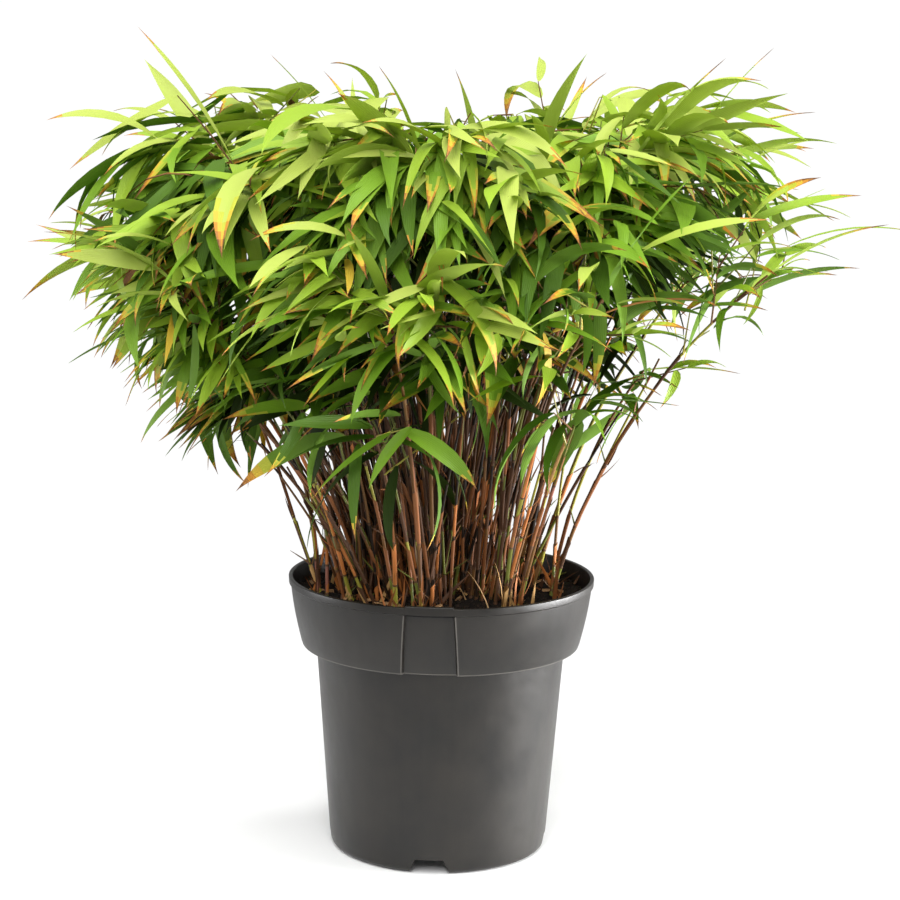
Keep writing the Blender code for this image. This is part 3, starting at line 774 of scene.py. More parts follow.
# %% Search trees
def tree_of(solids):
    """One search tree over several solids, each its corners and its faces."""
    corners, faces = [], []
    for points, sides in solids:
        faces += [[len(corners) + i for i in face] for face in sides]
        corners += points
    return BVHTree.FromPolygons(corners, faces)


def free_of(solid, tree):
    """Whether a solid misses the faces in a search tree."""
    return not tree_of([solid]).overlap(tree)


def clearance_tube(path, radius):
    """A plain tube that a limb fits inside with its clearance round it."""
    return tube(path, [radius + LIMB_CLEARANCE] * len(path), 6)


print("search tools ready")

# %% Lines of the culms
def of_tier(tier):
    """The plans of one tier."""
    return [plan for plan in plans if plan["tier"] == tier]


def level_out(point):
    """The level direction from the clump's axis to a point."""
    out = Vector((point.x, point.y, 0))
    return out.normalized() if out.length > 1e-4 else Vector((1, 0, 0))


def arc(start, end, bend, steps):
    """Points along a shallow arc that leans over by bend, in all, on its way up."""
    chord = end - start
    along, out = chord.normalized(), level_out(end)
    inward = (along * out.dot(along) - out).normalized()
    sag = chord.length / 2 * math.tan(bend / 4)
    shares = [i / steps for i in range(steps + 1)]
    return [start + chord * s + inward * 4 * sag * s * (1 - s) for s in shares]


def stem_path(path, length):
    """The line of a mass's stem: it goes on from the culm's tip, a gap clear of it, and arches over."""
    along, out = (path[-1] - path[-2]).normalized(), level_out(path[-1])
    points = [path[-1] + along * GAP]
    for _ in range(STEM_STEPS):
        along = (along + out * 0.09).normalized()
        points.append(points[-1] + along * length / STEM_STEPS)
    return points


def spot_on(path, share):
    """The point at a share of the way along a line of points, and the direction there."""
    at = min(share * (len(path) - 1), len(path) - 1 - 1e-6)
    i = int(at)
    return path[i].lerp(path[i + 1], at - i), (path[i + 1] - path[i]).normalized()


def culm_plan(tier, number, dice):
    """One culm of a tier: its name, its number and the line it takes from the soil to its tip."""
    sizes = TIERS[tier]
    turn = math.radians(sizes["turn"]) + 2 * math.pi * number / sizes["count"]
    foot_turn, tip_turn = (turn + dice.uniform(-sway, sway) for sway in (0.12, 0.10))
    foot_reach = sizes["foot"] * dice.uniform(0.90, 1.05)
    tip_reach = sizes["tip"] * dice.uniform(0.94, 1.06)
    foot = Vector((foot_reach * math.cos(foot_turn), foot_reach * math.sin(foot_turn), 0))
    foot.z = soil_height(foot.x, foot.y) + FOOT_RISE
    height = sizes["height"] + dice.uniform(-0.010, 0.010)
    tip = Vector((tip_reach * math.cos(tip_turn), tip_reach * math.sin(tip_turn), height))
    path = arc(foot, tip, math.radians(sizes["bend"]), CULM_STEPS)
    stem = stem_path(path, sizes["stem"])
    return dict(name=f"{tier}_{number + 1}", tier=tier, sizes=sizes, path=path, stem=stem)


def plan_culms(dice):
    """A plan for every culm, and the tubes that keep them apart: each is drawn till it is clear."""
    plans, tubes = [], []
    for tier in TIERS:
        for number in range(TIERS[tier]["count"]):
            for _ in range(CULM_TRIES):
                plan = culm_plan(tier, number, dice)
                way = clearance_tube(plan["path"], CULM_FOOT_RADIUS * NODE_SWELL)
                if not tubes or free_of(way, tree_of(tubes)):
                    break
            plans.append(plan)
            tubes.append(way)
    return plans, tubes


def shoot_path(plan, culms, others, dice):
    """A side shoot's line: from its culm's foot up among the culms, or None where none is clear."""
    start = plan["path"][0] + Vector((0, 0, SHOOT_RISE))
    for _ in range(CULM_TRIES):
        aside = stray(dice, 2) * SHOOT_STRAY
        end = Vector((start.x * 1.5, start.y * 1.5, SHOOT_TOP + dice.uniform(-0.03, 0.02))) + aside
        path = arc(start, end, math.radians(6), SHOOT_STEPS)
        upper = [spot_on(path, 0.25)[0], *path[1:]]
        whole, above = (clearance_tube(line, SHOOT_RADIUS) for line in (path, upper))
        if free_of(whole, others) and free_of(above, culms):
            return path
    return None


dice = random.Random(SEED)
plans, tubes = plan_culms(dice)
for plan, way in zip(plans, list(tubes)):
    others = tree_of([other for other in tubes if other is not way])
    plan["shoot"] = shoot_path(plan, tree_of(tubes), others, dice)
    if plan["shoot"]:
        tubes.append(clearance_tube(plan["shoot"], SHOOT_RADIUS))
print(len(plans), "culms,", sum(1 for plan in plans if plan["shoot"]), "side shoots")

# %% Where leaves may grow
LEAF_FACES = [(0, 1, 2), (0, 2, 3), (0, 3, 1), (4, 2, 1), (4, 3, 2), (4, 1, 3)]


def crown_top(point):
    """The crown's top, which dips towards its middle."""
    return CROWN_TOP - CROWN_DIP * max(0.0, 1 - point.xy.length / (0.5 * CROWN_REACH))


def crown_reach(point):
    """How far the crown reaches from its axis at a point's height, on the point's side."""
    slope = CROWN_SLOPE * (1 + CROWN_SKEW * level_out(point).x)
    return CROWN_REACH - slope * max(0.0, CROWN_WAIST - point.z)


def home_of(plan):
    """The heart of a mass: just outside and below the outer part of its stem."""
    point = spot_on(plan["stem"], 0.75)[0]
    return point + level_out(point) * 0.012 + Vector((0, 0, -0.006))


class Space:
    """One mass's own cell of the crown, with the limbs and leaves that a new leaf must miss."""

    def __init__(self, plan, plans, culms):
        others = [other for other in plans if other is not plan]
        self.home = home_of(plan)
        self.others = [home_of(other) for other in others]
        stems = tree_of([clearance_tube(other["stem"], CULM_TIP_RADIUS) for other in others])
        self.taken = [culms, stems]

    def holds(self, corners, short=0.0, slack=0.0):
        """Whether all corners lie in the crown, or short of its edge, and in the cell or near it."""
        drop, share = RAGGED_TOP * short, 1 - RAGGED_REACH * short
        if any(c.z > crown_top(c) - drop or c.xy.length > crown_reach(c) * share for c in corners):
            return False
        for other in self.others:
            apart = other - self.home
            wall = (other + self.home).dot(apart) / 2 + (slack - CELL_MARGIN) * apart.length
            if any(corner.dot(apart) > wall for corner in corners):
                return False
        return True

    def clear(self, solid):
        """Whether a small solid misses every limb and leaf there is."""
        own = tree_of([solid])
        return not any(own.overlap(tree) for tree in self.taken)


def leaf_corners(root, heading, side, length, width, droop):
    """Corners of a leaf: a pointed root, two edges and a midrib at its widest, a drooping tip."""
    up = side.cross(heading)
    middle = root + heading * (LEAF_BELLY * length)
    tip = middle + (heading * math.cos(droop) - up * math.sin(droop)) * ((1 - LEAF_BELLY) * length)
    half, rib = side * (width / 2), up * (length * LEAF_THICKNESS)
    return [root, middle + half, middle + rib, middle - half, tip]


def blade_of(corners):
    """A leaf's solid with the root drawn in, since leaves of one twig may meet at their roots."""
    return [corners[0].lerp(corners[2], 0.15), *corners[1:]], LEAF_FACES


print("crown up to", CROWN_TOP, "m, and out to", CROWN_REACH, "m")

# %% Leaves and twigs of the solids
def grow_leaf(space, root, along, hand, dice):
    """Tries for a leaf to one hand of its twig, or straight on where hand is 0.

    Returns how it lies, or None where none fits. Low leaves hang, high ones lift, and the leaf
    that goes straight on from a stem reaches furthest."""
    leads = hand == 0
    rise = max(0.0, min(1.0, (root.z - HANG_BELOW) / (LIFT_ABOVE - HANG_BELOW)))
    lift = 0.1 if leads else -0.45 + 0.75 * rise
    short = 0.0 if leads else math.sqrt(dice.random())
    spread, wild = (0, 0.12) if leads else (46, 0.25)
    for attempt in range(LEAF_TRIES):
        aside = along.cross(Vector((0, 0, 1)))
        aside = aside.normalized() if aside.length > 0.1 else along.orthogonal().normalized()
        angle = math.radians(spread + dice.uniform(-22, 22))
        loose = stray(dice) * (wild + 0.03 * attempt)
        heading = along * math.cos(angle) + aside * hand * math.sin(angle)
        heading = (heading + loose + Vector((0, 0, lift))).normalized()
        side = heading.cross(Vector((0, 0, 1)))
        if side.length < 0.15:
            continue
        side = Matrix.Rotation(dice.uniform(-0.7, 0.7), 3, heading) @ side.normalized()
        scale = dice.uniform(0.86, 1.12) * (1 - 0.012 * attempt)
        droop = math.radians(dice.uniform(4, 18) if leads else dice.uniform(12, 55))
        corners = leaf_corners(root, heading, side, LEAF_LENGTH * scale, SOLID_LEAF_WIDTH * scale, droop)
        if space.holds(corners, short) and space.clear(blade_of(corners)):
            space.taken.append(tree_of([blade_of(corners)]))
            lies = dict(root=root, heading=heading, side=side, scale=scale, droop=droop)
            return dict(lies, leads=leads, tip=corners[4])
    return None


def grow_twig(space, stem, k, count, dice):
    """Tries for a twig from the stem; each stands a golden turn round from the one before."""
    share = 0.08 + 0.72 * k / max(1, count - 1)
    start, run = spot_on(stem, share)
    for attempt in range(TWIG_TRIES):
        turn = Matrix.Rotation(k * GOLDEN_TURN + dice.uniform(-0.8, 0.8), 3, run)
        around = turn @ run.orthogonal().normalized()
        along = (run * 0.5 + around + level_out(start) * 0.3).normalized()
        end = start + along * TWIG_LENGTH * dice.uniform(0.75, 1.2) * (1 - 0.03 * attempt)
        twig = tube([start, end], [TWIG_RADIUS, TWIG_RADIUS * 0.8], 3)
        if space.holds(twig[0], 1.0) and space.clear(twig):
            return (start, end), twig
    return None


def grow_mass(plan, space, dice):
    """Sprays of one mass, as (line of the twig, its leaves), the stem's own first."""
    stem = plan["stem"]
    taper = (TWIG_RADIUS - CULM_TIP_RADIUS) / STEM_STEPS
    radii = [CULM_TIP_RADIUS + taper * i for i in range(STEM_STEPS + 1)]
    solids, lines = [tube(stem, radii, 3)], []
    roots = [(0, *spot_on(stem, 0.995), 0)]
    roots += [(0, *spot_on(stem, share), (-1) ** j) for j, share in enumerate(STEM_LEAF_SHARES)]
    for k in range(plan["sizes"]["twigs"]):
        grown = grow_twig(space, stem, k, plan["sizes"]["twigs"], dice)
        if grown is None:
            continue
        line, twig = grown
        solids.append(twig)
        lines.append(line)
        for j, share in enumerate(LEAF_SHARES):
            roots.append((len(lines), *spot_on(line, share), (-1) ** (j + k)))
    space.taken.append(tree_of(solids))
    sprays = [(None, [])] + [(line, []) for line in lines]
    for spray, *root in roots:
        leaf = grow_leaf(space, *root, dice)
        if leaf:
            sprays[spray][1].append(leaf)
    return sprays


culms = tree_of(tubes)
for k, plan in enumerate(plans):
    plan["space"] = Space(plan, plans, culms)
    plan["sprays"] = grow_mass(plan, plan["space"], random.Random(SEED + 1 + k))
worst = 0.0
for plan in plans:
    low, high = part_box("foliage_" + plan["name"])
    for tip in [leaf["tip"] for _, leaves in plan["sprays"] for leaf in leaves]:
        worst = max(worst, *(low - tip), *(tip - high))
print(sum(len(leaves) for plan in plans for _, leaves in plan["sprays"]), "leaves of the solids")
print("their tips leave the solids' boxes by at most", round(1000 * worst, 3), "mm")

# %% [markdown]
# ## Finer sprays
# A living clump has many times the leaves of the solids. Each culm and extra cane carries them on
# thin side twigs, in fans of four to seven. They keep to the cells too, but they hang as real
# leaves do, may brush past each other and may reach a little over a wall. Some free ones stand
# out at the crown's edge, which makes it ragged, and deep ones fill its dark inside.

# %% A hanging leaf
CELL_SLACK = 0.035
FINE_TRIES = 14
BULK_TOP = 0.42
BULK_SKEW = 0.27
BULK_DROP = 0.007
FREE_SHARE = 0.19
STRAIGHT_SHARE = 0.45
# The hem is the lowest that the crown hangs: a height, and how steeply it rises to two sides.
HEM = 0.216
HEM_RIGHT, HEM_RIGHT_FROM = 0.78, 0.05
HEM_FRONT, HEM_FRONT_FROM = 0.50, 0.03
HEM_RAGGED, RAGGED_FROM = 0.105, -0.08
# Low at the right the crown is open: more and more leaves are left out there.
OPEN_RIGHT, OPEN_FROM, OPEN_BELOW = 5.0, 0.08, 0.385
# How far short of the crown's edge a leaf stays, and past it where the number is below 0.
MOST_SHORT, DEEP_SHORT, FREE_SHORT = 0.65, (0.6, 1.7), (-0.32, 0.22)
STRAIGHT_FALL, SPREAD_FALL = (-1.25, -0.50), (-0.75, -0.05)
FREE_RISE, OTHER_RISE = (0.5, 1.5), (0.0, 0.70)
FINE_SCALE = (0.58, 1.12)


def bulk_reach(point):
    """How far the crown's bulk reaches: less to the right below its top."""
    if point.z > BULK_TOP:
        return crown_reach(point)
    return crown_reach(point) * (1 - BULK_SKEW * max(0.0, level_out(point).x))


def over_hem(point, lift=0.0):
    """Whether a point is above the hem of the crown, which rises to the right and the front.

    lift raises the hem, save at the left, for a leaf that must not hang low."""
    right = max(0.0, point.x - HEM_RIGHT_FROM)
    front = max(0.0, -point.y - HEM_FRONT_FROM)
    lift *= max(0.2, min(1.0, (point.x - RAGGED_FROM) / 0.08))
    return point.z > HEM + HEM_RIGHT * right + HEM_FRONT * front + lift


def bulk_holds(corners, lift):
    """Whether a leaf keeps to the crown's bulk: under its top, inside its reach and over its hem."""
    tip = corners[4]
    if any(c.z > crown_top(c) - BULK_DROP for c in corners):
        return False
    return over_hem(tip, lift) and tip.xy.length < bulk_reach(tip)


def hanging_leaf(space, root, along, hand, deep, dice):
    """Tries for a real leaf: it leaves its twig outwards to one hand and hangs over.

    A deep leaf fills the crown's inside. A free one stands out at the crown's edge, high or low."""
    out = level_out(root)
    beside = out.cross(Vector((0, 0, 1)))
    high = max(0.0, min(1.0, (root.z - HANG_BELOW) / (LIFT_ABOVE - HANG_BELOW)))
    short = dice.uniform(*DEEP_SHORT) if deep else MOST_SHORT * math.sqrt(dice.random())
    free = dice.random() < FREE_SHARE and not deep
    short = dice.uniform(*FREE_SHORT) if free else short
    lift = HEM_RAGGED * dice.random() ** 1.15
    straight = dice.random() < STRAIGHT_SHARE
    if root.z < OPEN_BELOW and dice.random() < OPEN_RIGHT * (root.x - OPEN_FROM):
        return None
    for attempt in range(FINE_TRIES):
        spread = dice.uniform(0.05, 0.95) * (hand or dice.choice((-0.4, 0.4)))
        fall = dice.uniform(*(STRAIGHT_FALL if straight else SPREAD_FALL))
        fall += dice.uniform(*(FREE_RISE if free else OTHER_RISE)) * high
        heading = along * 0.30 + out * dice.uniform(0.40, 1.10) + beside * spread
        heading = (heading + Vector((0, 0, fall))).normalized()
        side = heading.cross(Vector((0, 0, 1)))
        if side.length < 0.12:
            continue
        side = Matrix.Rotation(dice.gauss(0, 0.40), 3, heading) @ side.normalized()
        scale = dice.uniform(*FINE_SCALE) * (1 - 0.02 * attempt)
        droop = math.radians(dice.uniform(3, 26) if straight or free else dice.uniform(18, 66))
        length, width = LEAF_LENGTH * scale, SOLID_LEAF_WIDTH / 2 * scale
        corners = leaf_corners(root, heading, side, length, width, droop)
        kept = over_hem(corners[4]) if free else bulk_holds(corners, lift)
        if kept and space.holds(corners, short, CELL_SLACK):
            lies = dict(root=root, heading=heading, side=side, scale=scale, droop=droop)
            return dict(lies, leads=False, tip=corners[4], deep=deep)
    return None


print("a fine leaf may cross into the next cell by", 1000 * CELL_SLACK, "mm")

# %% Extra canes
CANE_RADIUS = 0.00082
EXTRA_CANES = dict(centre=30, heart=28, core=26, shoulder=14, brim=12, skirt=12)
EXTRA_FOOT_STRAY = 0.014
EXTRA_TIP_STRAY = 0.030
SOIL_REACH = 0.075


def extra_cane(plan, dice):
    """The line of one more thin cane beside a culm, or None where its tip would show under the hem."""
    foot = plan["path"][0] + stray(dice, 2) * EXTRA_FOOT_STRAY
    foot.xy *= dice.uniform(0.58, 0.96)
    if foot.xy.length > SOIL_REACH:
        foot.xy *= SOIL_REACH / foot.xy.length
    foot.z = soil_height(foot.x, foot.y)
    for _ in range(FINE_TRIES):
        lean = dice.uniform(0.58, 0.88)
        tip = foot.lerp(plan["path"][-1], lean)
        tip.xy *= dice.uniform(0.70, 1.0)
        tip += stray(dice, 2) * EXTRA_TIP_STRAY
        if over_hem(tip, HEM_RAGGED / 2):
            break
    else:
        return None
    return arc(foot, tip, math.radians(plan["sizes"]["bend"] * lean), CULM_STEPS)


dice = random.Random(SEED + 600)
for plan in plans:
    canes = [extra_cane(plan, dice) for _ in range(EXTRA_CANES[plan["tier"]])]
    plan["canes"] = [cane for cane in canes if cane]
print(sum(len(plan["canes"]) for plan in plans), "extra canes")

# %% Fine sprays
FINE_SPRAYS = dict(centre=18, heart=18, core=15, shoulder=20, brim=24, skirt=10)
DEEP_SPRAYS = dict(centre=20, heart=20, core=14, shoulder=18, brim=16, skirt=6)
FINE_TWIG = 0.050
FINE_LEAVES = (4, 7)
CULM_LEAFY_FROM = 0.55
CANE_LEAFY_FROM = 0.62
DEEP_FROM = 0.45
LOWEST_LEAF = 0.245


def limbs_of(plan, deep):
    """Lines that fine twigs may leave from, and the share of each where they begin."""
    culm_from, cane_from = (DEEP_FROM, DEEP_FROM) if deep else (CULM_LEAFY_FROM, CANE_LEAFY_FROM)
    limbs = [(plan["stem"], 0.0), (plan["stem"], 0.1), (plan["path"], culm_from)]
    limbs += [(line, 0.2) for line, _ in plan["sprays"] if line]
    limbs += [(cane, cane_from) for cane in plan["canes"]]
    if plan["shoot"]:
        limbs.append((plan["shoot"], 0.7))
    return limbs


def fine_spray(plan, deep, dice):
    """A thin twig with its fan of leaves, in the plan's own cell, or None where none fits."""
    space = plan["space"]
    for _ in range(FINE_TRIES):
        limb, begin = dice.choice(limbs_of(plan, deep))
        start, run = spot_on(limb, dice.uniform(begin, 0.99))
        along = (run * 0.7 + any_side(run, dice) + level_out(start) * 0.5).normalized()
        length = FINE_TWIG * dice.uniform(0.5, 1.2)
        middle = start + along * length / 2
        end = middle + (along + Vector((0, 0, dice.uniform(-0.25, 0.25)))).normalized() * length / 2
        if space.holds([start, middle, end], 0.9, CELL_SLACK / 2) and start.z > LOWEST_LEAF:
            break
    else:
        return None
    line = [start, middle, end]
    leaves, count = [], dice.randint(*FINE_LEAVES)
    for j in range(count):
        hand = 0 if j == count - 1 else (-1) ** j
        share = 0.999 if hand == 0 else 0.30 + 0.68 * j / count
        leaf = hanging_leaf(space, *spot_on(line, share), hand, deep, dice)
        if leaf:
            leaves.append(leaf)
    return line, leaves


for k, plan in enumerate(plans):
    dice = random.Random(SEED + 700 + k)
    found = [fine_spray(plan, False, dice) for _ in range(FINE_SPRAYS[plan["tier"]])]
    found += [fine_spray(plan, True, dice) for _ in range(DEEP_SPRAYS[plan["tier"]])]
    plan["fine"] = [spray for spray in found if spray and spray[1]]
fine = [leaf for plan in plans for _, leaves in plan["fine"] for leaf in leaves]
print(len(fine), "leaves on fine sprays,", sum(leaf["deep"] for leaf in fine), "of them deep in the crown")

# %% [markdown]
# ## Leaf finishes
# A bamboo leaf is a thin satin blade with fine veins along it, and light shines through. Colour
# differs more from leaf to leaf than within one, so each tint is its own plain finish, dealt out by
# spray. The veins are a relief across the blade, and a translucent share lets the light through.
# Besides the leaves' own differences, the darker tints paint shade inside and low in the crown and
# the lighter ones paint light on its top and outside.

# %% Finishes of the leaves
VEIN_COUNT = 13
VEIN_DEPTH = 0.00022
GLOW = 0.30


def leafy(name, tint, roughness=0.42, glow=GLOW, dry=False, sheen=0.32):
    """A blade's finish: veins along it, a satin sheen in soft patches and light through it."""
    made = Finish(name, Base_Color=tint, Specular_IOR_Level=sheen)
    across = made.node("ShaderNodeSeparateXYZ", None, {0: made.place("UV")})
    veins = (across * (2 * math.pi * VEIN_COUNT)).sine()
    patches = made.clouds(140 if dry else 70, 3)
    made.set(Roughness=roughness + patches * 0.22 - 0.05)
    wavy = made.relief(made.clouds(420 if dry else 160, 3), 0.0011 if dry else 0.0005, 0.5)
    made.set(Normal=made.relief(veins * 0.5 + 0.5, VEIN_DEPTH, 0.45, wavy))
    through = made.node("ShaderNodeBsdfTranslucent", None, {"Color": tint})
    shader = Wire(made, made.shader.outputs[0])
    both = made.node("ShaderNodeMixShader", None, {0: glow, 1: shader, 2: through})
    made.feed(made.tree.nodes["Material Output"].inputs["Surface"], both)
    return made


LEAF_FINISHES = {
    "fresh": leafy("leaf_fresh", colour(190, 205, 97), 0.40, 0.42),
    "bright": leafy("leaf_bright", colour(162, 192, 60), 0.40, 0.40),
    "mid": leafy("leaf_mid", colour(124, 164, 42), 0.42),
    "deep": leafy("leaf_deep", colour(80, 114, 28), 0.44, sheen=0.22),
    # A dark green that paints the shade on leaves deep inside the crown.
    "shade": leafy("leaf_painted_shade", colour(42, 60, 15), 0.5, sheen=0.12),
    "pale_under": leafy("leaf_pale_under", colour(178, 199, 88), 0.55, 0.48, sheen=0.25),
    "dull_under": leafy("leaf_dull_under", colour(106, 142, 46), 0.55, 0.36, sheen=0.18),
    "lime": leafy("leaf_lime", colour(186, 190, 62), 0.5),
    "yellow": leafy("leaf_yellow", colour(208, 178, 58), 0.5),
    "amber": leafy("leaf_amber", colour(196, 138, 46), 0.55),
    "tan": leafy("leaf_tan", colour(160, 108, 50), 0.65, 0.15, True),
    "brown": leafy("leaf_brown", colour(108, 70, 36), 0.7, 0.10, True),
}
LEAF_SLOTS = {name: i for i, name in enumerate(LEAF_FINISHES)}
UNDER_OF = {"fresh": "pale_under", "bright": "pale_under", "mid": "dull_under", "deep": "dull_under"}
print("leaf finishes", list(LEAF_FINISHES))

# %% [markdown]
# ## The leaf blade
# The blade is blunt at its foot, widest in its lower third and drawn out to a fine tip. It folds
# a little along its midrib and arches over. A flat outline could be cut from a plane, but a lofted
# blade shows the fold and the droop from any side. Top and underside share their edge corners,
# and its last rows take the dry finishes, from a little further down on one band than the next.

# %% Blade
BLADE_WIDTH = 0.0126
BLADE_WIDEST = 0.28
BLADE_STATIONS = (0.0, 0.035, 0.11, 0.24, 0.38, 0.52, 0.64, 0.73, 0.80, 0.86, 0.91, 0.955, 1.0)
DEEP_STATIONS = (0.0, 0.06, 0.24, 0.45, 0.68, 0.86, 1.0)
BLADE_THICKNESS = 0.00028
BAND_SHARE = 0.55
LENGTH_SPREAD, WIDTH_SPREAD = (0.86, 1.06), (0.66, 1.14)
FOLD_DEGREES = (3, 16)
TWIST, SWAY = 0.50, 0.30
DRY_ROWS = {
    "none": (),
    "touch": ("amber", "tan"),
    "short": ("yellow", "tan", "brown"),
    "middle": ("lime", "yellow", "amber", "tan", "brown"),
    "long": ("lime", "yellow", "amber", "tan", "brown", "brown"),
}


def blade_outline(share):
    """Half width of a blade at a share of its length, as a share of its widest."""
    foot = math.sin(min(1.0, share / BLADE_WIDEST) * math.pi / 2) ** 0.5
    tip = (1 - max(0.0, (share - BLADE_WIDEST) / (1 - BLADE_WIDEST)) ** 2.6) ** 1.5
    return max(0.07, foot) * tip


def dry_paint(dry, row, tint):
    """The finish of a row of a blade: its tint, then from row 0 on the dry ones in their order."""
    return tint if row < 0 or not dry else dry[min(row, len(dry) - 1)]


def halves_of(face, from_first):
    """A face of four cut in two from its first or second corner, and a face of three as it is."""
    if len(face) == 3:
        return [face]
    a, b, c, d = face
    return [(a, b, c), (a, c, d)] if from_first else [(a, b, d), (b, c, d)]


def add_blade(stock, leaf, tint, tip, dice, slim=1.0):
    """Adds one leaf to a stock. tip says how much of it is dry."""
    heading, side, droop = leaf["heading"], leaf["side"], leaf["droop"]
    length = LEAF_LENGTH * leaf["scale"] * dice.uniform(*LENGTH_SPREAD)
    width = BLADE_WIDTH * leaf["scale"] * dice.uniform(*WIDTH_SPREAD) * slim
    fold = math.radians(dice.uniform(*FOLD_DEGREES))
    twist, sway = dice.gauss(0, TWIST), dice.gauss(0, SWAY)
    hang = 0.1 if leaf["leads"] else 0.5
    curl = droop * dice.uniform(0.9, 1.4) + hang * max(0.0, 0.4 + heading.z)
    stations = DEEP_STATIONS if leaf.get("deep") else BLADE_STATIONS
    point, corners, spots, last = leaf["root"].copy(), [], [], 0.0
    for share in stations:
        bent = curl * share ** 1.25
        up = side.cross(heading)
        ahead = heading * math.cos(bent) - up * math.sin(bent) + side * (sway * share)
        ahead.normalize()
        point = point + ahead * (share - last) * length
        last = share
        level = (side - ahead * side.dot(ahead)).normalized()
        across = Matrix.Rotation(twist * share, 3, ahead) @ level
        above = across.cross(ahead)
        half = width / 2 * blade_outline(share)
        if share == 1.0:
            corners.append(point)
            spots.append((0.5, 1.0))
            break
        for reach in (-1.0, -BAND_SHARE, 0.0, BAND_SHARE, 1.0):
            rise = abs(reach) * half * math.tan(fold)
            corners.append(point + across * (reach * half * math.cos(fold)) + above * rise)
            spots.append((0.5 + reach * half / BLADE_WIDTH, share))
        corners.append(point - above * BLADE_THICKNESS)
        spots.append((0.5, share))
    rows = len(stations) - 1
    faces = grid(rows, 6, True)
    end = 6 * rows
    faces += [(end - 6 + c, end - 6 + (c + 1) % 6, end) for c in range(6)]
    slots = []
    dry = DRY_ROWS[tip][-rows + 2:]
    leads = [dice.choice((1, 2)), 0, dice.choice((0, 1)), dice.choice((1, 2))]
    for r in range(rows):
        paints = [dry_paint(dry, r - rows + len(dry) + lead, tint) for lead in leads]
        paints += [UNDER_OF.get(paint, paint) for paint in (paints[2], paints[1])]
        slots += [LEAF_SLOTS[paint] for paint in paints]
    # Cut this way, a twisted blade's top bulges up and its underside down, so they never cross.
    halves = [(half, slot) for face, slot in zip(faces, slots) for half in halves_of(face, twist < 0)]
    stock.add(corners, [half for half, _ in halves], [slot for _, slot in halves], spots)


print("blade of", len(BLADE_STATIONS), "stations")

# %% Leaves of every mass
# Tints from dark to light: besides the leaves' own differences they paint shade inside and low in the crown
# and light on its top and outside.
TINTS = ("shade", "deep", "mid", "bright", "fresh")
DARK_HEIGHT, LIGHT_HEIGHT = 0.24, 0.43
LOW_LIGHT, LIGHT_RISE, LIGHT_FADE, DEEP_PAINTED_SHADE = 0.60, 0.54, 5.5, 0.20
SPRAY_STRAY = (-0.16, 0.24)
TIP_WEIGHTS = {"none": 35, "touch": 22, "short": 22, "middle": 15, "long": 6}
DEAD_SHARE = 0.018
DEAD_TINTS = ("yellow", "tan", "brown")
WITHERED_SLIM = 0.5
SPEAR_SLIM = (0.35, 0.95)
SETTLE = 1.25


def settle(leaf, dice):
    """Lets a side leaf of the solids hang under its own weight while its tip stays over the hem.

    One that reaches past the bulk is made smaller."""
    if leaf["leads"]:
        return
    heading = (leaf["heading"] - Vector((0, 0, dice.uniform(0.1, SETTLE)))).normalized()
    hangs_to = leaf["root"] + heading * LEAF_LENGTH * leaf["scale"]
    if over_hem(hangs_to):
        leaf["heading"] = heading
        side = leaf["side"]
        leaf["side"] = (side - heading * side.dot(heading)).normalized()
    beyond = leaf["tip"].xy.length / bulk_reach(leaf["tip"])
    if beyond > 1:
        leaf["scale"] *= max(0.55, 1 - 2 * (beyond - 1))


def painted_light_tint(leaf, dice, drawn):
    """A leaf's tint, drawn a little off its spray's: painted light makes it lighter towards the crown's
    outside and top, and painted shade makes it darker inside the crown and low down.
    """
    tip = leaf["tip"]
    middle = leaf["root"].lerp(tip, 0.5)
    high = (middle.z - DARK_HEIGHT) / (LIGHT_HEIGHT - DARK_HEIGHT)
    depth = max(0.0, min(crown_top(middle) - middle.z, crown_reach(middle) - middle.xy.length))
    light = LOW_LIGHT + LIGHT_RISE * high - LIGHT_FADE * depth + drawn + dice.uniform(-0.10, 0.10)
    # Deep leaves take more painted shade.
    if leaf.get("deep"):
        light -= DEEP_PAINTED_SHADE
    return TINTS[max(0, min(4, int(light * 5)))]


dice = random.Random(SEED + 800)
for plan in plans:
    for _, leaves in plan["sprays"]:
        for leaf in leaves:
            settle(leaf, dice)
for tier in TIERS:
    stock = Stock("leaves_" + tier, list(LEAF_FINISHES.values()))
    for plan in of_tier(tier):
        for _, leaves in plan["sprays"] + plan["fine"]:
            drawn = dice.uniform(*SPRAY_STRAY)
            for leaf in leaves:
                if dice.random() < DEAD_SHARE:
                    tint = dice.choice(DEAD_TINTS)
                else:
                    tint = painted_light_tint(leaf, dice, drawn)
                withered = tint in ("tan", "brown")
                tip = "none" if withered or leaf.get("deep") else pick(TIP_WEIGHTS, dice)
                slim = dice.uniform(*SPEAR_SLIM) if leaf["leads"] else 1.0
                add_blade(stock, leaf, tint, tip, dice, WITHERED_SLIM if withered else slim)
    dress(stock.build(60), "leaf_green", *["foliage_" + plan["name"] for plan in of_tier(tier)])

# %% [markdown]
# ## Canes
# A cane is a jointed tube. Each joint is a raised ring, and a dry sheath wraps most lengths above
# one: orange-brown paper that stands off the cane at its mouth. Between sheaths the cane shows
# olive green low down and purple-brown above. Deep in the clump canes and sheaths take dark
# finishes, which paint the shade there. One tube per cane with rings of corners at each joint gives
# the relief. Each length takes its own finish.

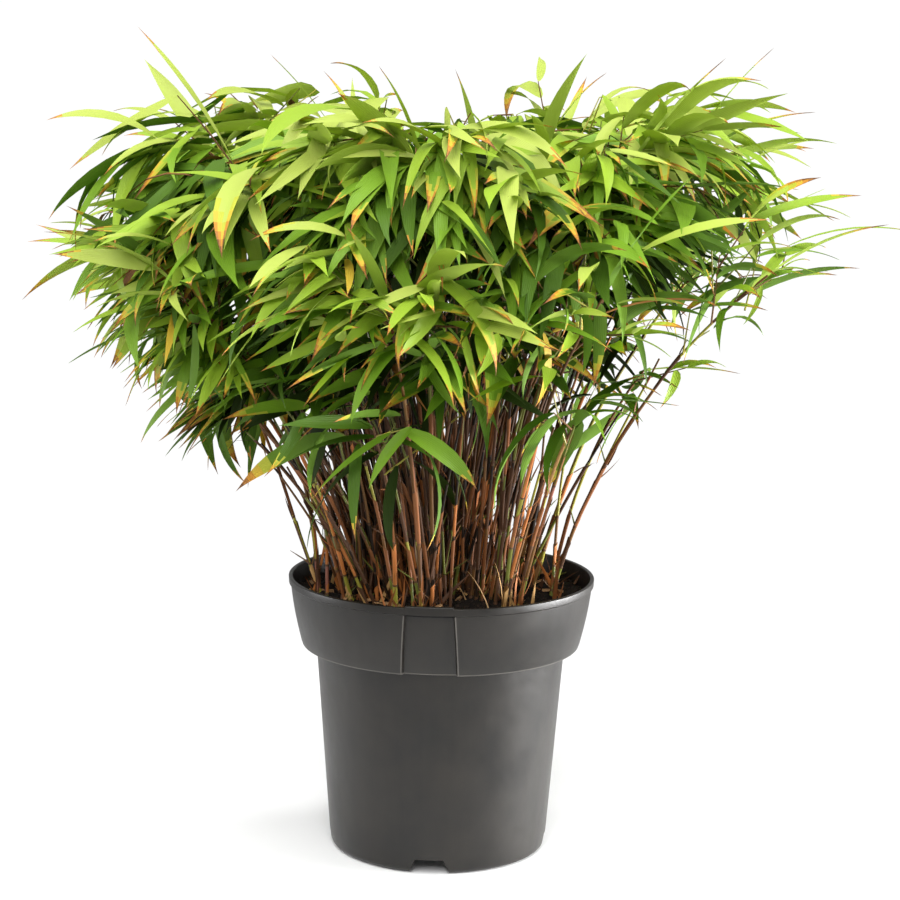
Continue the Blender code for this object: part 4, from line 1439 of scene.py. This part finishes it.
# %% Finishes of the canes
def woody(name, tint, roughness=0.5, fibre=0.00010, rough_spread=0.2):
    """Cane or sheath: fibres along its length and soft blotches in its sheen."""
    made = Finish(name, Base_Color=tint, Specular_IOR_Level=0.22)
    fibres = made.clouds(1.0, 3, 0.6, made.stretched((2400, 2400, 60)))
    blotches = made.clouds(260, 3)
    made.set(Roughness=roughness + blotches * rough_spread - 0.08)
    made.set(Normal=made.relief(fibres, fibre, 0.7, made.relief(blotches, 0.0003, 0.5)))
    return made


CANE_FINISHES = {
    "olive": woody("cane_olive", colour(142, 136, 52), 0.38),
    "moss": woody("cane_moss", colour(98, 102, 42), 0.40),
    "purple": woody("cane_purple", colour(86, 56, 30), 0.45),
    "umber": woody("cane_umber", colour(102, 70, 34), 0.45),
    # A near-black finish that paints the shade deep in the clump.
    "soot": woody("cane_painted_shade", colour(34, 24, 14), 0.6),
    "pink": woody("cane_pink", colour(138, 88, 72), 0.40),
    "ring": woody("cane_ring", colour(84, 58, 40), 0.6),
    "orange": woody("sheath_orange", colour(172, 104, 52), 0.55, 0.00018),
    "rust": woody("sheath_rust", colour(120, 73, 39), 0.55, 0.00018),
    "straw": woody("sheath_straw", colour(180, 140, 88), 0.6, 0.00020),
    "paper": woody("sheath_paper", colour(194, 156, 112), 0.65, 0.00022),
    "cocoa": woody("sheath_cocoa", colour(76, 50, 32), 0.6, 0.00018),
}
CANE_SLOTS = {name: i for i, name in enumerate(CANE_FINISHES)}
print("cane finishes", list(CANE_FINISHES))

# %% One cane
CULM_SIDES, CANE_SIDES = 8, 6
JOINTS_FROM, BARE_TIP = 0.004, 0.012
FIRST_GAP, GAP_GROWTH, LONGEST_GAP = 0.016, 0.010, 0.056
RING_HALF = 0.0004
RING_CLEAR = RING_HALF * 2.2
RING_SWELLS = (1.07, 1.14, 1.03)
CANE_STEP = 0.011
# Deep in the clump canes take darker finishes, which paint the shade there.
PAINTED_SHADE_CANE = dict(soot=46, moss=18, umber=22, purple=14)
LOW_CANE = dict(olive=38, moss=20, umber=22, purple=12, pink=8)
HIGH_CANE = dict(olive=26, moss=16, umber=30, purple=28)
FOOT_DEPTH = 0.003
WANDER, WANDER_PACE = 0.0011, 0.11


def smooth_line(points, step=0.006):
    """A line of points as a smooth curve through them, with the distance run at each."""
    line, runs, run = [], [], 0.0
    for i in range(len(points) - 1):
        before, after = points[max(i - 1, 0)], points[min(i + 2, len(points) - 1)]
        start, end = points[i], points[i + 1]
        pieces = max(1, round((end - start).length / step))
        for k in range(pieces):
            s = k / pieces
            pull = (end - before) * 0.5 * (s * (1 - s) ** 2) - (after - start) * 0.5 * (s * s * (1 - s))
            line.append(start.lerp(end, s * s * (3 - 2 * s)) + pull)
    line.append(points[-1])
    for i, point in enumerate(line):
        run += (point - line[max(i - 1, 0)]).length
        runs.append(run)
    return line, runs


def point_at(line, runs, run):
    """The point and direction of a measured line at a distance run along it."""
    i = 1
    while i < len(runs) - 1 and runs[i] < run:
        i += 1
    share = (run - runs[i - 1]) / max(1e-9, runs[i] - runs[i - 1])
    return line[i - 1].lerp(line[i], max(0.0, min(1.0, share))), (line[i] - line[i - 1]).normalized()


def joints_of(length, dice):
    """Distances of the joints along a cane: close together at its foot."""
    joints, run, gap = [], JOINTS_FROM, FIRST_GAP
    while run < length - BARE_TIP:
        joints.append(run)
        run += gap * dice.uniform(0.85, 1.15)
        gap = min(LONGEST_GAP, gap + GAP_GROWTH)
    return joints


def cane_paint(share, in_painted_shade, dice):
    """The finish of one length of cane, by how high it is; deep in the clump a dark one, as painted shade.
    """
    if in_painted_shade:
        return pick(PAINTED_SHADE_CANE, dice)
    return pick(LOW_CANE if share < 0.45 else HIGH_CANE, dice)


def add_cane(stock, line, runs, foot, tip, joints, in_painted_shade, sides, dice):
    """A jointed tube along a line."""
    length = runs[-1]
    bounds = [0.0, *joints, length]
    stations, paints = [], []
    for i, (start, end) in enumerate(zip(bounds, bounds[1:])):
        paint = cane_paint(start / length, in_painted_shade, dice)
        inner = [start + RING_CLEAR] if i else [start]
        count = max(1, round((end - start) / CANE_STEP))
        inner += [start + (end - start) * k / count for k in range(1, count)]
        inner.append(end - RING_CLEAR if end < length else end)
        for run in inner:
            stations.append((run, 1.0))
            paints.append(paint)
        if end < length:
            stations += zip((end - RING_HALF, end, end + RING_HALF), RING_SWELLS)
            paints[-1] = "ring"
            paints += ["ring", "ring", paint]
    points, radii = [], []
    for run, swell in stations:
        point, _ = point_at(line, runs, run)
        points.append(point)
        share = run / length
        flare = 1 + 0.35 * max(0.0, 1 - run / 0.006)
        radii.append((foot + (tip - foot) * share) * swell * flare)
    corners, faces = tube(points, radii, sides)
    slots = [CANE_SLOTS[paints[0]], CANE_SLOTS[paints[-1]]]
    for paint in paints[:-1]:
        slots += [CANE_SLOTS[paint]] * sides
    stock.add(corners, faces, slots)


print("a culm has", CULM_SIDES, "sides and a thin cane", CANE_SIDES)

# %% [markdown]
# ## Sheaths
# A sheath is a strip of dry paper rolled round the cane, open down one side. It is tight at the
# joint below, loose at its mouth, and one side runs out in a dry blade. It is lofted as an open
# wrap of a few columns whose upper edge is cut slanting, then the blade goes on from its high side.

# %% Sheaths and their dry blades
SHEATH_COLUMNS = 7
SHEATH_ROWS = 5
WITH_BLADE = 0.72
WITH_SPUR = 0.42
SHEATH_GAP = 0.0001
SLANT = 3.2
SHEATH_WRAP = math.radians(310)
LOW_SHEATHS = dict(orange=42, rust=34, straw=3, cocoa=20, paper=1)
HIGH_SHEATHS = dict(orange=34, rust=36, straw=2, cocoa=27, paper=1)
# Sheaths deep in the clump are mostly dark, as painted shade.
PAINTED_SHADE_SHEATHS = dict(orange=12, rust=26, straw=1, cocoa=61, paper=0)
PAINTED_SHADE_REACH = 0.056
COVERED = 0.80
STRIP_SHARES = (0.0, 0.25, 0.5, 0.75, 1.0)


def add_strip(stock, start, heading, side, length, width, bend, paint):
    """A narrow pointed strip that bends back: a dry blade or a shred of paper."""
    up, point, corners = side.cross(heading).normalized(), start.copy(), []
    last = 0.0
    for share in STRIP_SHARES:
        ahead = heading * math.cos(bend * share) - up * math.sin(bend * share)
        point = point + ahead * (share - last) * length
        last = share
        half = width / 2 * (1 - share ** 1.6)
        raised = up * half * 0.4
        corners += [point - side * half + raised, point, point + side * half + raised]
    stock.add(corners, grid(len(STRIP_SHARES), 3), CANE_SLOTS[paint])


def add_sheath(stock, line, runs, start, end, radius, dice, paint):
    """A wrap from one joint upwards, with a dry blade at its mouth on most."""
    turn = dice.uniform(0, 2 * math.pi)
    corners, mouth = [], None
    loose = dice.uniform(0.00005, 0.00035)
    for r in range(SHEATH_ROWS):
        share = r / (SHEATH_ROWS - 1)
        base, along = point_at(line, runs, start + (end - start) * share)
        across = along.orthogonal().normalized()
        beside = along.cross(across)
        for c in range(SHEATH_COLUMNS):
            wrap = turn + SHEATH_WRAP * (c / (SHEATH_COLUMNS - 1) - 0.5)
            out = across * math.cos(wrap) + beside * math.sin(wrap)
            slant = abs(2 * c / (SHEATH_COLUMNS - 1) - 1) ** 1.5 * radius * SLANT * share
            off = radius + SHEATH_GAP + loose * share ** 3
            corners.append(base + out * off - along * slant)
            if r == SHEATH_ROWS - 1 and c == SHEATH_COLUMNS // 2:
                mouth = (corners[-1], along, out)
    stock.add(corners, grid(SHEATH_ROWS, SHEATH_COLUMNS), CANE_SLOTS[paint])
    if dice.random() < WITH_BLADE:
        point, along, out = mouth
        heading = (along + out * dice.uniform(0.05, 0.75)).normalized()
        side = heading.cross(out).normalized()
        length = dice.uniform(0.006, 0.020)
        add_strip(stock, point, heading, side, length, radius * 1.5, dice.uniform(-0.5, 0.6), paint)


def add_spur(stock, point, along, radius, dice):
    """A short pointed bud or broken side twig at a joint."""
    out = any_side(along, dice)
    heading = (along * dice.uniform(0.5, 1.4) + out).normalized()
    length = dice.uniform(0.003, 0.014)
    points = [point + heading * length * s for s in (0.0, 0.6, 1.0)]
    corners, faces = tube(points, [radius * 0.55, radius * 0.4, radius * 0.12], 5)
    stock.add(corners, faces, CANE_SLOTS[dice.choice(("umber", "rust", "moss", "ring"))])


def dress_cane(canes, sheaths, path, foot, tip, sides, dice):
    """One cane with its sheaths and spurs."""
    # A cane whose foot is near the clump's axis is painted dark, as shade.
    in_painted_shade = path[0].xy.length < PAINTED_SHADE_REACH
    wandering, _ = smooth_line(path)
    seed = dice.uniform(0, 90)
    line = []
    for i, point in enumerate(wandering):
        ease = min(1.0, i / 6, (len(wandering) - 1 - i) / 4)
        drift = noise.noise_vector(Vector((i * WANDER_PACE, seed, 0))) * WANDER * ease
        line.append(point + drift)
    along = (line[1] - line[0]).normalized()
    line[0] = line[0] - along * FOOT_DEPTH
    runs = [0.0]
    for a, b in zip(line, line[1:]):
        runs.append(runs[-1] + (b - a).length)
    joints = joints_of(runs[-1], dice)
    add_cane(canes, line, runs, foot, tip, joints, in_painted_shade, sides, dice)
    for i, joint in enumerate(joints):
        share = joint / runs[-1]
        radius = foot + (tip - foot) * share
        point, along = point_at(line, runs, joint)
        after = joints[i + 1] if i + 1 < len(joints) else runs[-1]
        low = share < 0.4
        if dice.random() < COVERED * (1.0 if low else 0.75):
            reach = joint + (after - joint) * dice.uniform(0.45, 1.02 if low else 0.85)
            weights = PAINTED_SHADE_SHEATHS if in_painted_shade else LOW_SHEATHS if low else HIGH_SHEATHS
            paint = pick(weights, dice)
            add_sheath(sheaths, line, runs, joint + RING_HALF, reach, radius, dice, paint)
        if dice.random() < WITH_SPUR:
            add_spur(canes, point, along, radius, dice)


print("sheaths come in", list(LOW_SHEATHS))

# %% Every cane of the clump
CULM_SLIM = 0.78
CANE_TIP = 0.00065
SIDE_TIP = 0.00055

dice = random.Random(SEED + 900)
# Without a seed of its own the noise that bends the canes would differ from run to run.
noise.seed_set(SEED)
for tier in TIERS:
    canes = Stock("canes_" + tier, list(CANE_FINISHES.values()))
    sheaths = Stock("sheaths_" + tier, list(CANE_FINISHES.values()))
    for plan in of_tier(tier):
        whole = plan["path"] + plan["stem"][1:]
        thick = CULM_FOOT_RADIUS * CULM_SLIM * dice.uniform(0.85, 1.1)
        dress_cane(canes, sheaths, whole, thick, CANE_TIP, CULM_SIDES, dice)
        if plan["shoot"]:
            thick = SHOOT_RADIUS * CULM_SLIM
            dress_cane(canes, sheaths, plan["shoot"], thick, SIDE_TIP, CULM_SIDES, dice)
        for cane in plan["canes"]:
            thick = CANE_RADIUS * dice.uniform(0.85, 1.3)
            dress_cane(canes, sheaths, cane, thick, SIDE_TIP, CANE_SIDES, dice)
    dress(canes.build(50), "culm_bark", *["culm_" + plan["name"] for plan in of_tier(tier)])
    dress(sheaths.build(70), "culm_bark")

# %% [markdown]
# ## Twigs
# The fine twigs that carry the leaf fans are under a millimetre thick. Plain tapering tubes of five
# sides are enough at that size.

# %% Twigs
FINE_TWIG_RADIUS = 0.00055
TWIG_STEP = 0.012
TWIG_SIDES = 5
TWIG_PAINTS = ("purple", "umber", "moss", "olive")

dice = random.Random(SEED + 950)
twigs = Stock("twigs", list(CANE_FINISHES.values()))
for plan in plans:
    for line, leaves in plan["sprays"] + plan["fine"]:
        if not (line and leaves):
            continue
        points, _ = smooth_line(list(line), TWIG_STEP)
        reach = max((leaf["root"] - line[0]).length for leaf in leaves) + 0.003
        points = [point for point in points if (point - line[0]).length < reach]
        last = len(points) - 1
        if last < 1:
            continue
        radii = [FINE_TWIG_RADIUS * (1.15 - 0.6 * i / last) for i in range(last + 1)]
        corners, faces = tube(points, radii, TWIG_SIDES)
        twigs.add(corners, faces, CANE_SLOTS[dice.choice(TWIG_PAINTS)])
dress(twigs.build(), "culm_bark")

# %% [markdown]
# ## Litter
# Round the feet lie and stand shreds of old sheath. They hide where canes meet the ground.

# %% Shreds round the feet
SHRED_COUNT = 120
LITTER_COUNT = 26
SHRED_PAINTS = dict(orange=26, rust=30, straw=12, cocoa=26, paper=6)
LITTER_PAINTS = dict(orange=20, rust=24, straw=22, cocoa=20, paper=14)

dice = random.Random(SEED + 960)
litter = Stock("litter", list(CANE_FINISHES.values()))
for _ in range(SHRED_COUNT):
    foot = dice.choice(plans)["path"][0] + Vector((dice.gauss(0, 0.006), dice.gauss(0, 0.006), 0))
    if foot.xy.length > SOIL_REACH:
        continue
    foot.z = soil_height(foot.x, foot.y) - 0.001
    lean = Vector((dice.gauss(0, 0.35), dice.gauss(0, 0.35), 1)).normalized()
    side = any_side(lean, dice)
    paint = pick(SHRED_PAINTS, dice)
    size = dice.uniform(0.008, 0.034)
    add_strip(litter, foot, lean, side, size, dice.uniform(0.0012, 0.0028), dice.uniform(-0.5, 0.5), paint)
for _ in range(LITTER_COUNT):
    at = strewn(dice) + Vector((0, 0, 0.0012))
    heading = Vector((dice.uniform(-1, 1), dice.uniform(-1, 1), 0.12)).normalized()
    side = heading.cross(Vector((0, 0, 1))).normalized()
    paint = pick(LITTER_PAINTS, dice)
    size = dice.uniform(0.006, 0.018)
    add_strip(litter, at, heading, side, size, dice.uniform(0.0014, 0.003), dice.uniform(0.1, 0.5), paint)
dress(litter.build(70), "potting_soil")

# %% [markdown]
# ## Floor
# A pale disc stands for the table. It fades out towards its edge, so that it meets the white tent
# without a line.

# %% Floor
FLOOR_RADIUS = 1.1
FLOOR_DROP = 0.0004
FLOOR_SIDES = 64

FLOOR = Finish("floor_white", Base_Color=(0.93, 0.93, 0.93), Roughness=0.7)
reach = FLOOR.node("ShaderNodeVectorMath", {"operation": "LENGTH"}, {0: FLOOR.place()}, output=1)
FLOOR.set(Alpha=FLOOR.ramp(reach * (1 / FLOOR_RADIUS), [(0.12, 1.0), (0.55, 0.0)]))
edge = [(x, y, -FLOOR_DROP) for x, y in round_points(FLOOR_RADIUS, FLOOR_SIDES)]
floor_stock = Stock("floor", [FLOOR])
floor_stock.add(edge, [tuple(range(FLOOR_SIDES))])
floor_stock.build()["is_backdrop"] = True

# %% [markdown]
# ## Sizes
# The dressed plant has to fill the same box as the imported one, so both boxes are measured and
# their difference is printed.

# %% Print how far the two boxes differ
dressed_low, dressed_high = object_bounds()
boxes = dict(cad=[list(frame_low), list(frame_high)], visual=[list(dressed_low), list(dressed_high)])
for name, was_low, was_high, low, high in zip("xyz", *boxes["cad"], *boxes["visual"]):
    print(name, "low", round(1000 * (low - was_low), 1), "high", round(1000 * (high - was_high), 1), "mm")
